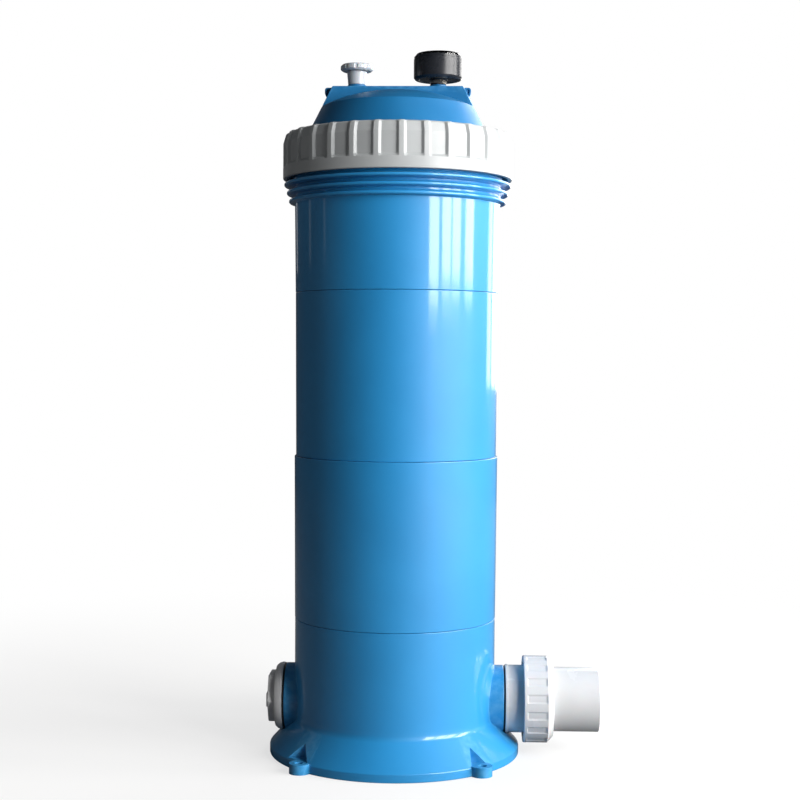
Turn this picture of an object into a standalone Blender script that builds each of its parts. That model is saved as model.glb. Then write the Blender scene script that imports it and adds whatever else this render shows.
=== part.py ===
# Pool and spa cartridge filter: a tank of four welded sections, a domed lid under a screwed
# lock ring, a pleated element on an outlet elbow, two pipe unions and a drain plug.
# Origin on the tank's axis at the floor. Lengths are in millimetres until an object is made.

import math

import bmesh
import bpy

MM = 0.001
FIT = 0.3                       # gap between pieces that touch

# Tank
WALL_INSIDE = 95.5              # radius of the tank's bore
REBATE = 97.8                   # where one section's spigot sits in the next
SPIGOT = 97.5
SPIGOT_DEEP = 8.0
SEAM_LOW, SEAM_MID, SEAM_HIGH = 134.8, 296.0, 457.6
FOOT_RADIUS = 124.5
FOOT_RIM = 8.0                  # height of the foot's upright rim
FLARE_TOP = 34.5
FLOOR_UNDER, FLOOR_TOP = 20.5, 25.0
LUG_ANGLE = 47.2                # of the four floor lugs, from the port axis
LUG_WEB = 112.0                 # where a lug leaves the foot
POCKET_APEX, POCKET_KNEE, POCKET_END = 110.0, 128.5, 140.0
POCKET_HALF = 13.5
LEAN_APEX, LEAN_KNEE, LEAN_SIDE = 10.8, 4.0, 12.96      # of the two pockets beside the drain
LUG_CENTRE, LUG_RADIUS, LUG_HIGH = 127.0, 10.0, 9.6
BOLT_HOLE = 4.2
HUB_RADIUS = 15.0               # post under the middle of the floor
RIDGES = ((547.8, 107.8), (556.0, 110.0), (564.2, 112.6))
NECK_RADIUS, NECK_BORE, NECK_TOP = 103.9, 96.5, 594.0
TANK_STEPS = 32

# Lock ring and its thread
RING_BOTTOM, RING_TOP = 569.2, 613.9
RING_CREST, RING_RECESS = 113.75, 111.5
RING_TOP_CREST, RING_TOP_RECESS = 111.2, 109.0
RING_OPENING = 90.3
RING_RIBS = 30
RING_TURN = 9.7                 # degrees from +X to the first rib
RING_BORE = 109.4
RING_CEILING = 606.0
THREAD_PITCH = 10.0
NECK_CREST, RING_THREAD_CREST = 106.6, 107.0

# Lid
LID_FLANGE_LOW, LID_FLANGE_TOP = 594.3, 602.0
LID_SPIGOT_LOW = 582.0
LID_SPIGOT, LID_GROOVE, LID_FLANGE = 96.1, 93.0, 103.6
GROOVE_LOW, GROOVE_HIGH = 585.2, 589.4
LID_INSIDE = 90.6
SKIRT_RADIUS, SKIRT_AT, SKIRT_LEAN = 82.05, 628.8, 0.502
DOME_FOOT = 640.0               # where the skirt meets the dome
DOME_TOP, DOME_SPHERE = 657.8, 176.5
BAR_HALF, BAR_TOP = 18.0, 660.5
TAB_HALF, TAB_REACH, TAB_LOW = 11.0, 72.2, 649.6
VENT_X, GAUGE_X = -41.0, 39.6
BOSS_TOP = 664.0                # of the two bosses on the bar
SEAT_LOW, SEAT_WAY = 652.5, 2.6
VENT_BOSS, VENT_SEAT = 9.4, 6.3
GAUGE_BOSS, GAUGE_SEAT = 8.4, 5.8

# Vent valve
VENT_KNOB_LOW, VENT_KNOB_TOP = 677.6, 684.2
VENT_KNOB_RADIUS = 16.3
VENT_GRIPS = 10
VENT_BODY_TOP, VENT_BORE = 677.2, 4.4

# Pressure gauge
GAUGE_LOW, GAUGE_TOP = 669.0, 694.6
GAUGE_RADIUS = 24.2
CASE_INSIDE, CASE_TOP, CASE_LEDGE = 21.6, 691.8, 687.6
DIAL_RADIUS, DIAL_LOW, DIAL_TOP = 21.2, 686.6, 687.3
MOVEMENT_LOW, MOVEMENT_TOP = 680.4, 681.8
GAUGE_ZERO = 225.0              # where the pointer rests, from +X
SECTOR_REACH = 8.0
SECTOR_TURN = 59.4              # the sector's swing for the pointer's full 270 degrees

# Ports
PORT_HIGH = 52.6
BOSS_RADIUS, BOSS_BORE = 33.0, 24.6
BOSS_REACH, DRAIN_REACH = 109.0, 108.7
PORT_STEPS = 20
NUT_RIBS = 16
COLLAR_START = 110.7            # the adaptor's collar, from the tank's axis
ADAPTOR_FACE = 147.0
NUT_START, NUT_END = 128.5, 158.0
NUT_CREST, NUT_RECESS, NUT_BORE, NUT_LIP = 42.9, 41.8, 37.3, 152.6
TAIL_RADIUS, TAIL_END = 31.7, 203.8
SOCKET_RADIUS, SOCKET_FLOOR = 25.2, 175.0
WATERWAY = 20.0                 # radius through an adaptor

# Drain plug
PLUG_FLANGE, PLUG_FLANGE_DEEP = 33.5, 7.8
PLUG_HEAD, PLUG_HEAD_DEEP = 27.1, 15.0
GRIP_HALF, GRIP_REACH, GRIP_DEEP = 7.0, 22.0, 16.2

# Element
ELEMENT_LOW, ELEMENT_TOP = 90.2, 560.0
ELEMENT_RADIUS = 89.0
MEDIA_OUT, MEDIA_IN, MEDIA_THICK = 85.8, 39.4, 0.9
MEDIA_LOW, MEDIA_TOP = 98.5, 551.5
CORE_OUT, CORE_IN = 36.5, 33.5
BAND_HEIGHTS = (246.0, 402.0)
BAND_HALF = 6.0
PLEATS = 30
CAP_STEPS = 30

# Outlet elbow
ELBOW_RADIUS, ELBOW_BORE = 24.4, 20.5
BRANCH_RADIUS, BRANCH_BORE, BRANCH_END = 24.0, 19.5, 90.0
ELBOW_FLANGE, ELBOW_FLANGE_LOW = 42.0, 84.5

# Colour (linear), roughness and metallic value of each finish
FINISHES = {
    "blue": ((0.010, 0.200, 0.560), 0.30, 0.0),
    "ring": ((0.620, 0.650, 0.660), 0.45, 0.0),
    "white": ((0.820, 0.830, 0.840), 0.35, 0.0),
    "grey": ((0.300, 0.310, 0.320), 0.50, 0.0),
    "black": ((0.012, 0.013, 0.015), 0.35, 0.0),
    "rubber": ((0.010, 0.010, 0.010), 0.75, 0.0),
    "brass": ((0.620, 0.420, 0.160), 0.30, 1.0),
    "media": ((0.800, 0.810, 0.800), 0.90, 0.0),
    "cap": ((0.050, 0.180, 0.420), 0.55, 0.0),
    "clear": ((0.850, 0.880, 0.900), 0.10, 0.0),
    "red": ((0.550, 0.020, 0.020), 0.40, 0.0),
}


def clear_scene():
    for item in list(bpy.data.objects):
        bpy.data.objects.remove(item, do_unlink=True)


def new_finish(name, finish):
    colour, roughness, metallic = FINISHES[finish]
    material = bpy.data.materials.new(name)
    material.use_nodes = True
    shader = material.node_tree.nodes["Principled BSDF"]
    shader.inputs["Base Color"].default_value = (*colour, 1.0)
    shader.inputs["Roughness"].default_value = roughness
    shader.inputs["Metallic"].default_value = metallic
    return material


def add_object(name, bm, finish, parent):
    """An object from a mesh in millimetres; without a finish it is a hidden helper."""
    bmesh.ops.recalc_face_normals(bm, faces=bm.faces)
    bmesh.ops.scale(bm, vec=(MM, MM, MM), verts=bm.verts)
    mesh = bpy.data.meshes.new(name)
    bm.to_mesh(mesh)
    bm.free()
    piece = bpy.data.objects.new(name, mesh)
    bpy.context.scene.collection.objects.link(piece)
    piece.parent = parent
    if finish:
        mesh.materials.append(new_finish(name, finish))
        mesh.shade_smooth()
        mesh.set_sharp_from_angle(angle=math.radians(35))
    else:
        piece.hide_render = True
        piece.display_type = "WIRE"
    return piece


def add_axis(name, location, rotation=(0, 0, 0)):
    """An empty on a joint's axis, with its Z along the axis."""
    empty = bpy.data.objects.new(name, None)
    empty.location = [value * MM for value in location]
    empty.rotation_euler = [math.radians(angle) for angle in rotation]
    bpy.context.scene.collection.objects.link(empty)
    return empty


def around(bm, radius, height, degrees):
    angle = math.radians(degrees)
    return bm.verts.new((radius * math.cos(angle), radius * math.sin(angle), height))


def join_rings(bm, first, second):
    """Faces between two rings of points; the second may have half as many points."""
    count = len(first)
    if len(second) == count:
        for k in range(count):
            n = (k + 1) % count
            corners = dict.fromkeys((first[k], first[n], second[n], second[k]))
            if len(corners) > 2:
                bm.faces.new(list(corners))
        return
    for k in range(len(second)):
        n = (k + 1) % len(second)
        bm.faces.new((first[2 * k], first[2 * k + 1], second[k]))
        bm.faces.new((first[2 * k + 1], first[(2 * k + 2) % count], second[n], second[k]))


def turned(name, profile, finish=None, parent=None, steps=TANK_STEPS):
    """A solid of revolution about local Z from a closed outline of (radius, height) points."""
    bm = bmesh.new()
    rings = []
    for radius, height in profile:
        if radius == 0:
            rings.append([around(bm, 0, height, 0)] * steps)
        else:
            rings.append([around(bm, radius, height, 360 * k / steps) for k in range(steps)])
    for first, second in zip(rings, rings[1:]):
        join_rings(bm, first, second)
    if profile[0][0] or profile[-1][0]:
        join_rings(bm, rings[-1], rings[0])
    return add_object(name, bm, finish, parent)


def ribbed(name, levels, ribs, crest_share, flank_share, finish, parent, phase=0.0):
    """A turned ring with grip ribs; each level is (crest radius, recess radius, height)."""
    bm = bmesh.new()
    pitch = 360 / ribs
    half = crest_share * pitch / 2
    flank = flank_share * pitch
    rings = []
    for crest, recess, height in levels:
        ring = []
        for rib in range(ribs):
            middle = phase + rib * pitch
            if crest == recess:
                ring.append(around(bm, crest, height, middle))
                ring.append(around(bm, crest, height, middle + pitch / 2))
            else:
                ring.append(around(bm, crest, height, middle - half))
                ring.append(around(bm, crest, height, middle + half))
                ring.append(around(bm, recess, height, middle + half + flank))
                ring.append(around(bm, recess, height, middle + pitch - half - flank))
        rings.append(ring)
    for k, first in enumerate(rings):
        second = rings[(k + 1) % len(rings)]
        if len(second) > len(first):
            first, second = second, first
        join_rings(bm, first, second)
    return add_object(name, bm, finish, parent)


def prism(name, outline, low, high, finish=None, parent=None):
    """A straight solid on an outline of (x, y) points."""
    bm = bmesh.new()
    bottom = [bm.verts.new((x, y, low)) for x, y in outline]
    top = [bm.verts.new((x, y, high)) for x, y in outline]
    bm.faces.new(bottom)
    bm.faces.new(top)
    for k in range(len(outline)):
        n = (k + 1) % len(outline)
        bm.faces.new((bottom[k], bottom[n], top[n], top[k]))
    return add_object(name, bm, finish, parent)


def block(name, low, high, finish=None, parent=None):
    outline = ((low[0], low[1]), (high[0], low[1]), (high[0], high[1]), (low[0], high[1]))
    return prism(name, outline, low[2], high[2], finish, parent)


def disc(name, radius, low, high, finish=None, parent=None, steps=PORT_STEPS, centre=(0, 0),
         first=0.0):
    """A straight round or many-sided solid; its first corner is turned by first, in steps."""
    outline = [
        (centre[0] + radius * math.cos(2 * math.pi * (k + first) / steps),
         centre[1] + radius * math.sin(2 * math.pi * (k + first) / steps))
        for k in range(steps)
    ]
    return prism(name, outline, low, high, finish, parent)


def washer(name, inside, outside, low, high, finish, parent=None, steps=PORT_STEPS):
    profile = ((inside, low), (outside, low), (outside, high), (inside, high))
    return turned(name, profile, finish, parent, steps)


def o_ring(name, middle, section, height, parent=None, steps=PORT_STEPS, sides=6):
    profile = [
        (middle + section * math.cos(2 * math.pi * k / sides),
         height + section * math.sin(2 * math.pi * k / sides))
        for k in range(sides)
    ]
    return turned(name, profile, "rubber", parent, steps)


def thread_ridge(name, root, crest, start, turns, parent=None, phase=0.0, steps=TANK_STEPS):
    """A right-hand thread ridge for a Boolean union: it runs up as it turns left."""
    bm = bmesh.new()
    sections = []
    for k in range(int(turns * steps) + 1):
        height = start + THREAD_PITCH * k / steps
        degrees = phase + 360 * k / steps
        sections.append([
            around(bm, root, height - 2.8, degrees),
            around(bm, crest, height - 1.2, degrees),
            around(bm, crest, height + 1.2, degrees),
            around(bm, root, height + 2.8, degrees),
        ])
    for first, second in zip(sections, sections[1:]):
        for k in range(4):
            n = (k + 1) % 4
            bm.faces.new((first[k], first[n], second[n], second[k]))
    bm.faces.new(sections[0])
    bm.faces.new(sections[-1])
    return add_object(name, bm, None, parent)


def combine(target, operation, *helpers):
    for helper in helpers:
        step = target.modifiers.new(helper.name, "BOOLEAN")
        step.operation = operation
        step.solver = "EXACT"
        step.object = helper


def section_profile(bottom_radius, top_radius, low, high):
    """A tank section: a plain tube with a spigot below and a rebate above."""
    return [
        (bottom_radius, low + FIT / 2),
        (top_radius, high - FIT / 2),
        (REBATE, high - FIT / 2),
        (REBATE, high - SPIGOT_DEEP - FIT),
        (WALL_INSIDE, high - SPIGOT_DEEP - FIT),
        (WALL_INSIDE, low - SPIGOT_DEEP),
        (SPIGOT, low - SPIGOT_DEEP),
        (SPIGOT, low + FIT / 2),
    ]


def pocket_outline(lean):
    """A V open to the outside; a leaning one is wider on the side it leans to."""
    sides = [side * (POCKET_HALF + LEAN_SIDE * (side == lean)) for side in (-1, 1)]
    knees = [POCKET_KNEE - LEAN_KNEE * (side == lean) for side in (-1, 1)]
    return (
        (POCKET_APEX, lean * LEAN_APEX), (knees[0], sides[0]), (POCKET_END, sides[0]),
        (POCKET_END, sides[1]), (knees[1], sides[1]),
    )


def tank_base(ports):
    rebate_low = SEAM_LOW - SPIGOT_DEEP - FIT
    base = turned("tank_base", [
        (0, FLOOR_UNDER), (96, FLOOR_UNDER), (103, 2.0), (104, 0), (FOOT_RADIUS, 0),
        (FOOT_RADIUS, FOOT_RIM), (100.0, FLARE_TOP), (100.0, SEAM_LOW - FIT / 2),
        (REBATE, SEAM_LOW - FIT / 2), (REBATE, rebate_low), (WALL_INSIDE, rebate_low),
        (WALL_INSIDE, FLOOR_TOP + 4), (91.0, FLOOR_TOP), (0, FLOOR_TOP),
    ], "blue")
    for name, (axis, reach) in ports.items():
        boss = disc(name + "_boss", BOSS_RADIUS, 91.0, reach, None, axis, 24)
        combine(base, "UNION", boss)
    for name, (axis, reach) in ports.items():
        bore = disc(name + "_bore", BOSS_BORE, 80.0, reach + 5, None, axis)
        spot_face = disc(name + "_spot_face", BOSS_RADIUS + 1.8, reach + 0.05, reach + 20, None, axis, 24)
        combine(base, "DIFFERENCE", bore, spot_face)
    hub = disc("base_hub", HUB_RADIUS, 0, FLOOR_UNDER + 1, None, None, 16)
    combine(base, "UNION", hub)
    lugs = ((LUG_ANGLE, 0), (180 - LUG_ANGLE, 1), (180 + LUG_ANGLE, -1), (360 - LUG_ANGLE, 0))
    for k, (turn, lean) in enumerate(lugs):
        axis = add_axis(f"lug_{k}_axis", (0, 0, 0), (0, 0, turn))
        tip = disc(f"lug_{k}_tip", LUG_RADIUS, 0, LUG_HIGH, None, axis, 16, (LUG_CENTRE, 0))
        web = block(f"lug_{k}_web", (LUG_WEB, -LUG_RADIUS, 0.02),
                    (LUG_CENTRE, LUG_RADIUS, LUG_HIGH - 0.02), None, axis)
        pocket = prism(f"lug_{k}_pocket", pocket_outline(lean), LUG_HIGH, 40, None, axis)
        hole = disc(f"lug_{k}_hole", BOLT_HOLE, -5, 20, None, axis, 12, (LUG_CENTRE + 1, 0))
        combine(base, "UNION", tip, web)
        combine(base, "DIFFERENCE", pocket, hole)
    return base


def tank_sections():
    turned("tank_lower", section_profile(100.2, 101.2, SEAM_LOW, SEAM_MID), "blue")
    turned("tank_middle", section_profile(99.7, 100.7, SEAM_MID, SEAM_HIGH), "blue")
    profile = [(100.8, SEAM_HIGH + FIT / 2)]
    for height, tip in RIDGES:
        profile += [(101.8, height - 2.2), (tip, height - 1.2), (tip - 1.0, height + 1.6),
                    (102.0, height + 2.6)]
    profile += [
        (NECK_RADIUS, 569.0), (NECK_RADIUS, NECK_TOP), (NECK_BORE, NECK_TOP), (NECK_BORE, 576.0),
        (WALL_INSIDE, 573.0), (WALL_INSIDE, SEAM_HIGH - SPIGOT_DEEP),
        (SPIGOT, SEAM_HIGH - SPIGOT_DEEP), (SPIGOT, SEAM_HIGH + FIT / 2),
    ]
    upper = turned("tank_upper", profile, "blue")
    thread = thread_ridge("neck_thread", NECK_RADIUS - 1.2, NECK_CREST, 575.0, 1.5)
    combine(upper, "UNION", thread)


def lock_ring(axis):
    levels = [
        (RING_CREST, RING_CREST, RING_BOTTOM), (RING_CREST, RING_CREST, 579.2),
        (RING_CREST, RING_RECESS, 581.4), (RING_CREST, RING_RECESS, 603.0),
        (RING_TOP_CREST, RING_TOP_RECESS, RING_TOP), (RING_OPENING, RING_OPENING, RING_TOP),
        (94.4, 94.4, RING_CEILING), (RING_BORE, RING_BORE, RING_CEILING),
        (RING_BORE, RING_BORE, RING_BOTTOM),
    ]
    ring = ribbed("lock_ring", levels, RING_RIBS, 0.24, 0.09, "ring", axis, RING_TURN)
    thread = thread_ridge("ring_thread", RING_BORE + 1.0, RING_THREAD_CREST, 578.0, 1.5, axis,
                          -72.0, 30)
    combine(ring, "UNION", thread)
    washer("thrust_washer", 96.8, 103.4, LID_FLANGE_TOP + FIT, RING_CEILING - FIT, "white",
           axis, TANK_STEPS)


def cone_at(height):
    """The lid's skirt radius: it leans in by half a millimetre for each millimetre up."""
    return SKIRT_RADIUS - SKIRT_LEAN * (height - SKIRT_AT)


def dome_at(radius):
    """The height of the lid's dome, which is part of a sphere."""
    return DOME_TOP - DOME_SPHERE + math.sqrt(DOME_SPHERE ** 2 - radius ** 2)


def lid(axis):
    body = turned("lid", [
        (0, LID_SPIGOT_LOW), (LID_SPIGOT, LID_SPIGOT_LOW), (LID_SPIGOT, GROOVE_LOW),
        (LID_GROOVE, GROOVE_LOW), (LID_GROOVE, GROOVE_HIGH), (LID_SPIGOT, GROOVE_HIGH),
        (LID_SPIGOT, LID_FLANGE_LOW), (LID_FLANGE, LID_FLANGE_LOW), (LID_FLANGE, LID_FLANGE_TOP),
        (cone_at(LID_FLANGE_TOP), LID_FLANGE_TOP), (cone_at(DOME_FOOT), DOME_FOOT),
        *[(radius, dome_at(radius)) for radius in (74.5, 60.0, 40.0, 18.0, 0)],
    ], "blue", axis)
    bar = turned("lid_bar", [
        (0, 637.0), (cone_at(637.0) - 1.2, 637.0), (cone_at(642.0), 642.0),
        (cone_at(BAR_TOP - 1) - 0.3, BAR_TOP - 1), (cone_at(BAR_TOP) - 1.2, BAR_TOP), (0, BAR_TOP),
    ], None, axis)
    slab = block("lid_bar_slab", (-95, -BAR_HALF, 630), (95, BAR_HALF, 680), None, axis)
    combine(bar, "INTERSECT", slab)
    cavity = turned("lid_cavity", [
        (0, 575), (LID_INSIDE, 575), (LID_INSIDE, LID_FLANGE_TOP - 2), (cone_at(634.0) - 4.5, 634.0),
        (58.0, 639.2), (38.0, 645.0), (18.0, 649.8), (0, 651.4),
    ], None, axis)
    combine(body, "UNION", bar)
    for name, side in (("left", -1), ("right", 1)):
        tab = prism(f"lid_tab_{name}", ((side * 60, -TAB_HALF), (side * TAB_REACH, -TAB_HALF),
                                        (side * TAB_REACH, TAB_HALF), (side * 60, TAB_HALF)),
                    TAB_LOW, BAR_TOP - 0.5, None, axis)
        combine(body, "UNION", tab)
    for name, middle, radius, bore in (("vent", VENT_X, VENT_BOSS, VENT_SEAT),
                                       ("gauge", GAUGE_X, GAUGE_BOSS, GAUGE_SEAT)):
        boss = disc(name + "_boss", radius, 655.0, BOSS_TOP, None, axis, 16, (middle, 0))
        seat = disc(name + "_seat", bore, SEAT_LOW, 670.0, None, axis, 16, (middle, 0))
        way = disc(name + "_way", SEAT_WAY, 630.0, SEAT_LOW + 2.5, None, axis, 12, (middle, 0))
        combine(body, "UNION", boss)
        combine(body, "DIFFERENCE", seat, way)
    combine(body, "DIFFERENCE", cavity)
    o_ring("lid_oring", 94.75, 1.4, 587.3, axis, TANK_STEPS)


def vent_valve(axis):
    body = turned("vent_body", [
        (0, 653.5), (6.0, 653.5), (6.0, BOSS_TOP + FIT), (8.8, BOSS_TOP + FIT),
        (10.0, VENT_BODY_TOP), (VENT_BORE, VENT_BODY_TOP), (VENT_BORE, 659.5), (0, 659.5),
    ], "white", axis, 16)
    seat_way = disc("vent_seat_way", 1.6, 650.0, 662.0, None, axis, 8)
    side_way = disc("vent_side_way", 1.6, 0.0, 20.0, None,
                    add_axis("vent_side_axis", (VENT_X, 0, 669.0), (0, -90, 0)), 8)
    combine(body, "DIFFERENCE", seat_way, side_way)
    knob = turned("vent_knob", [
        (0, 660.6), (1.9, 660.6), (1.9, 664.2), (3.9, 665.0), (3.9, VENT_KNOB_LOW),
        (14.2, VENT_KNOB_LOW), (VENT_KNOB_RADIUS, 679.4), (VENT_KNOB_RADIUS, 682.4),
        (14.6, VENT_KNOB_TOP), (10.5, VENT_KNOB_TOP), (9.0, 682.6), (0, 682.6),
    ], "white", axis, 20)
    for k in range(VENT_GRIPS):
        turn = math.radians(360 * (k + 0.5) / VENT_GRIPS)
        reach = VENT_KNOB_RADIUS + 1.6
        centre = (reach * math.cos(turn), reach * math.sin(turn))
        notch = disc(f"vent_notch_{k}", 2.4, 676.0, 690.0, None, axis, 8, centre)
        combine(knob, "DIFFERENCE", notch)
    o_ring("vent_oring", 2.95, 0.85, 662.2, axis, 16)


def gauge(axis, sector_axis):
    stem = disc("gauge_stem", 5.4, 653.4, BOSS_TOP + 1.9, "brass", axis, 16)
    hexagon = disc("gauge_hex", 8.2, BOSS_TOP + 1.5, GAUGE_LOW - 0.6, None, axis, 6)
    neck = disc("gauge_neck", 5.2, GAUGE_LOW - 1.2, GAUGE_LOW + 3.0, None, axis, 16)
    socket = block("gauge_socket", (-5, -18.4, GAUGE_LOW + 2.4), (5, -1.5, GAUGE_LOW + 8.0),
                   None, axis)
    way = disc("gauge_way", 1.5, 650.0, GAUGE_LOW + 5.0, None, axis, 8)
    combine(stem, "UNION", hexagon, neck, socket)
    combine(stem, "DIFFERENCE", way)
    washer("gauge_gasket", 5.8, 7.8, BOSS_TOP + 0.2, BOSS_TOP + 1.3, "rubber", axis, 16)
    turned("gauge_case", [
        (5.6, GAUGE_LOW), (22.6, GAUGE_LOW), (GAUGE_RADIUS, GAUGE_LOW + 2.2),
        (GAUGE_RADIUS, CASE_TOP), (23.0, CASE_TOP), (23.0, CASE_LEDGE), (CASE_INSIDE, CASE_LEDGE),
        (CASE_INSIDE, GAUGE_LOW + 2.1), (5.6, GAUGE_LOW + 2.1),
    ], "black", axis, 24)
    turned("gauge_lens", [
        (0, 693.0), (19.5, 693.0), (21.2, 692.0), (21.2, 688.1), (22.7, 688.1), (22.7, 692.6),
        (21.4, GAUGE_TOP), (0, GAUGE_TOP),
    ], "clear", axis, 24)
    dial = disc("gauge_dial", DIAL_RADIUS, DIAL_LOW, DIAL_TOP, "white", axis, 24)
    hole = disc("gauge_dial_hole", 1.6, 680.0, 690.0, None, axis, 8)
    combine(dial, "DIFFERENCE", hole)
    bourdon_tube(axis)
    plate = block("gauge_movement", (-8, -12.5, MOVEMENT_LOW), (8, 5.0, MOVEMENT_TOP), "brass", axis)
    foot = block("gauge_movement_foot", (-4, -12.5, GAUGE_LOW + 8.3), (4, -8.0, 681.0), None, axis)
    spindle_hole = disc("gauge_spindle_hole", 1.1, 670.0, 690.0, None, axis, 8)
    combine(plate, "UNION", foot)
    combine(plate, "DIFFERENCE", spindle_hole)
    spindle = disc("gauge_spindle", 0.9, 679.0, 689.2, "brass", axis, 8)
    pinion = disc("gauge_pinion", 2.2, 682.4, 685.2, None, axis, 10)
    combine(spindle, "UNION", pinion)
    zero = math.radians(GAUGE_ZERO)
    along = (math.cos(zero), math.sin(zero))
    outline = [
        (reach * along[0] - side * along[1], reach * along[1] + side * along[0])
        for reach, side in ((-6.0, -1.3), (3.0, -1.3), (17.5, -0.35), (17.5, 0.35), (3.0, 1.3),
                            (-6.0, 1.3))
    ]
    pointer = prism("gauge_pointer", outline, 688.3, 689.0, "red", axis)
    grip = disc("gauge_pointer_hole", 1.2, 685.0, 692.0, None, axis, 8)
    combine(pointer, "DIFFERENCE", grip)
    sector = [(0.0, -1.6)] + [
        (SECTOR_REACH * math.cos(math.radians(turn)), SECTOR_REACH * math.sin(math.radians(turn)))
        for turn in (-35, -18, 0, 18, 35)
    ] + [(0.0, 1.6), (-6.0, 1.6), (-6.0, -1.6)]
    quadrant = prism("gauge_sector", sector, 682.6, 684.8, "brass", sector_axis)
    pin = disc("gauge_sector_pin", 0.9, 682.2, 685.2, None, sector_axis, 8)
    combine(quadrant, "UNION", pin)


def bourdon_tube(axis):
    """A flattened tube bent to a C around the movement, from the stem's socket."""
    bm = bmesh.new()
    rings = []
    for k in range(13):
        turn = math.radians(-56 + 250 * k / 12)
        ring = []
        for across, height in ((-1.0, -2.4), (1.0, -2.4), (1.0, 2.4), (-1.0, 2.4)):
            radius = 17.4 + across
            ring.append(bm.verts.new((radius * math.cos(turn), radius * math.sin(turn),
                                      GAUGE_LOW + 7.0 + height)))
        rings.append(ring)
    for first, second in zip(rings, rings[1:]):
        join_rings(bm, first, second)
    bm.faces.new(rings[0])
    bm.faces.new(rings[-1])
    add_object("bourdon_tube", bm, "brass", axis)


def pipe_union(side, axis):
    washer(f"port_gasket_{side}", 25.2, 32.6, BOSS_REACH + FIT, COLLAR_START - FIT, "rubber", axis)
    turned(f"port_adaptor_{side}", [
        (WATERWAY, 92.0), (24.2, 92.0), (24.2, COLLAR_START), (33.9, COLLAR_START), (33.9, 113.2),
        (33.3, 113.2), (33.3, 129.6), (36.8, 131.0), (36.8, 146.0), (35.4, ADAPTOR_FACE),
        (29.0, ADAPTOR_FACE), (29.0, 144.8), (25.8, 144.8), (25.8, ADAPTOR_FACE),
        (WATERWAY, ADAPTOR_FACE),
    ], "white", axis, PORT_STEPS)
    o_ring(f"union_oring_{side}", 27.4, 1.1, 146.05, axis)
    turned(f"union_tail_{side}", [
        (21.0, ADAPTOR_FACE + FIT), (34.6, ADAPTOR_FACE + FIT), (34.6, 152.2), (TAIL_RADIUS, 152.2),
        (TAIL_RADIUS, TAIL_END), (SOCKET_RADIUS, TAIL_END), (SOCKET_RADIUS, SOCKET_FLOOR),
        (21.0, SOCKET_FLOOR),
    ], "white", axis, PORT_STEPS)
    ribbed(f"union_nut_{side}", [
        (NUT_CREST, NUT_CREST, NUT_START), (NUT_CREST, NUT_CREST, NUT_START + 2.8),
        (NUT_CREST, NUT_RECESS, NUT_START + 3.4), (NUT_CREST, NUT_RECESS, 152.4),
        (36.5, 36.5, NUT_END), (TAIL_RADIUS + 0.6, TAIL_RADIUS + 0.6, NUT_END),
        (TAIL_RADIUS + 0.6, TAIL_RADIUS + 0.6, NUT_LIP), (NUT_BORE, NUT_BORE, NUT_LIP),
        (NUT_BORE, NUT_BORE, NUT_START),
    ], NUT_RIBS, 0.48, 0.04, "white", axis)


def drain_plug(axis):
    washer("drain_gasket", 25.2, 33.0, DRAIN_REACH + FIT, DRAIN_REACH + 1.7, "rubber", axis)
    flange = DRAIN_REACH + 2.0
    face = flange + PLUG_FLANGE_DEEP
    plug = turned("drain_plug", [
        (19.0, 98.0), (23.8, 98.0), (23.8, flange), (PLUG_FLANGE, flange), (PLUG_FLANGE, flange + 2.5),
        (32.4, flange + 5.5), (30.3, face), (0, face), (0, flange + 1.0), (19.0, flange + 1.0),
    ], "grey", axis, 24)
    head = disc("drain_head", PLUG_HEAD, face - 0.6, flange + PLUG_HEAD_DEEP, None, axis, 6, (0, 0), 0.5)
    bar = block("drain_grip", (-GRIP_HALF, -GRIP_REACH, flange + PLUG_HEAD_DEEP - 1.0),
                (GRIP_HALF, GRIP_REACH, flange + GRIP_DEEP), None, axis)
    combine(plug, "UNION", head, bar)


def outlet_elbow(axis, rear):
    elbow = turned("outlet_elbow", [
        (0, 27.5), (ELBOW_RADIUS, 27.5), (ELBOW_RADIUS, ELBOW_FLANGE_LOW),
        (ELBOW_FLANGE, ELBOW_FLANGE_LOW), (ELBOW_FLANGE, ELEMENT_LOW - FIT),
        (ELBOW_RADIUS, ELEMENT_LOW - FIT), (ELBOW_RADIUS, 108.0), (22.4, 110.0), (0, 110.0),
    ], "white", axis, 24)
    branch = disc("elbow_branch", BRANCH_RADIUS, 0.0, BRANCH_END, None, rear, 24)
    down_bore = disc("elbow_down_bore", ELBOW_BORE, 34.0, 115.0, None, axis, 24)
    back_bore = disc("elbow_back_bore", BRANCH_BORE, 0.0, BRANCH_END + 5, None, rear, 24)
    combine(elbow, "UNION", branch)
    combine(elbow, "DIFFERENCE", down_bore, back_bore)
    washer("elbow_gasket", 20.2, BRANCH_RADIUS, BRANCH_END + 0.2, BRANCH_END + 1.7, "rubber", rear, 24)


def element(axis):
    turned("cartridge_bottom_cap", [
        (25.1, ELEMENT_LOW), (ELEMENT_RADIUS, ELEMENT_LOW), (ELEMENT_RADIUS, 103.0), (86.6, 103.0),
        (86.6, MEDIA_LOW - FIT), (32.0, MEDIA_LOW - FIT), (32.0, 103.0), (25.1, 103.0),
    ], "cap", axis, CAP_STEPS)
    turned("cartridge_top_cap", [
        (0, MEDIA_TOP + FIT), (86.6, MEDIA_TOP + FIT), (86.6, 547.0), (ELEMENT_RADIUS, 547.0),
        (ELEMENT_RADIUS, ELEMENT_TOP), (30.0, ELEMENT_TOP), (27.0, 556.0), (0, 556.0),
    ], "cap", axis, CAP_STEPS)
    pleated_media(axis)
    core_tube(axis)
    for name, height in zip(("lower", "upper"), BAND_HEIGHTS):
        washer(f"cartridge_band_{name}", 86.6, 87.6, height - BAND_HALF, height + BAND_HALF, "white",
               axis, CAP_STEPS)


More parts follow.
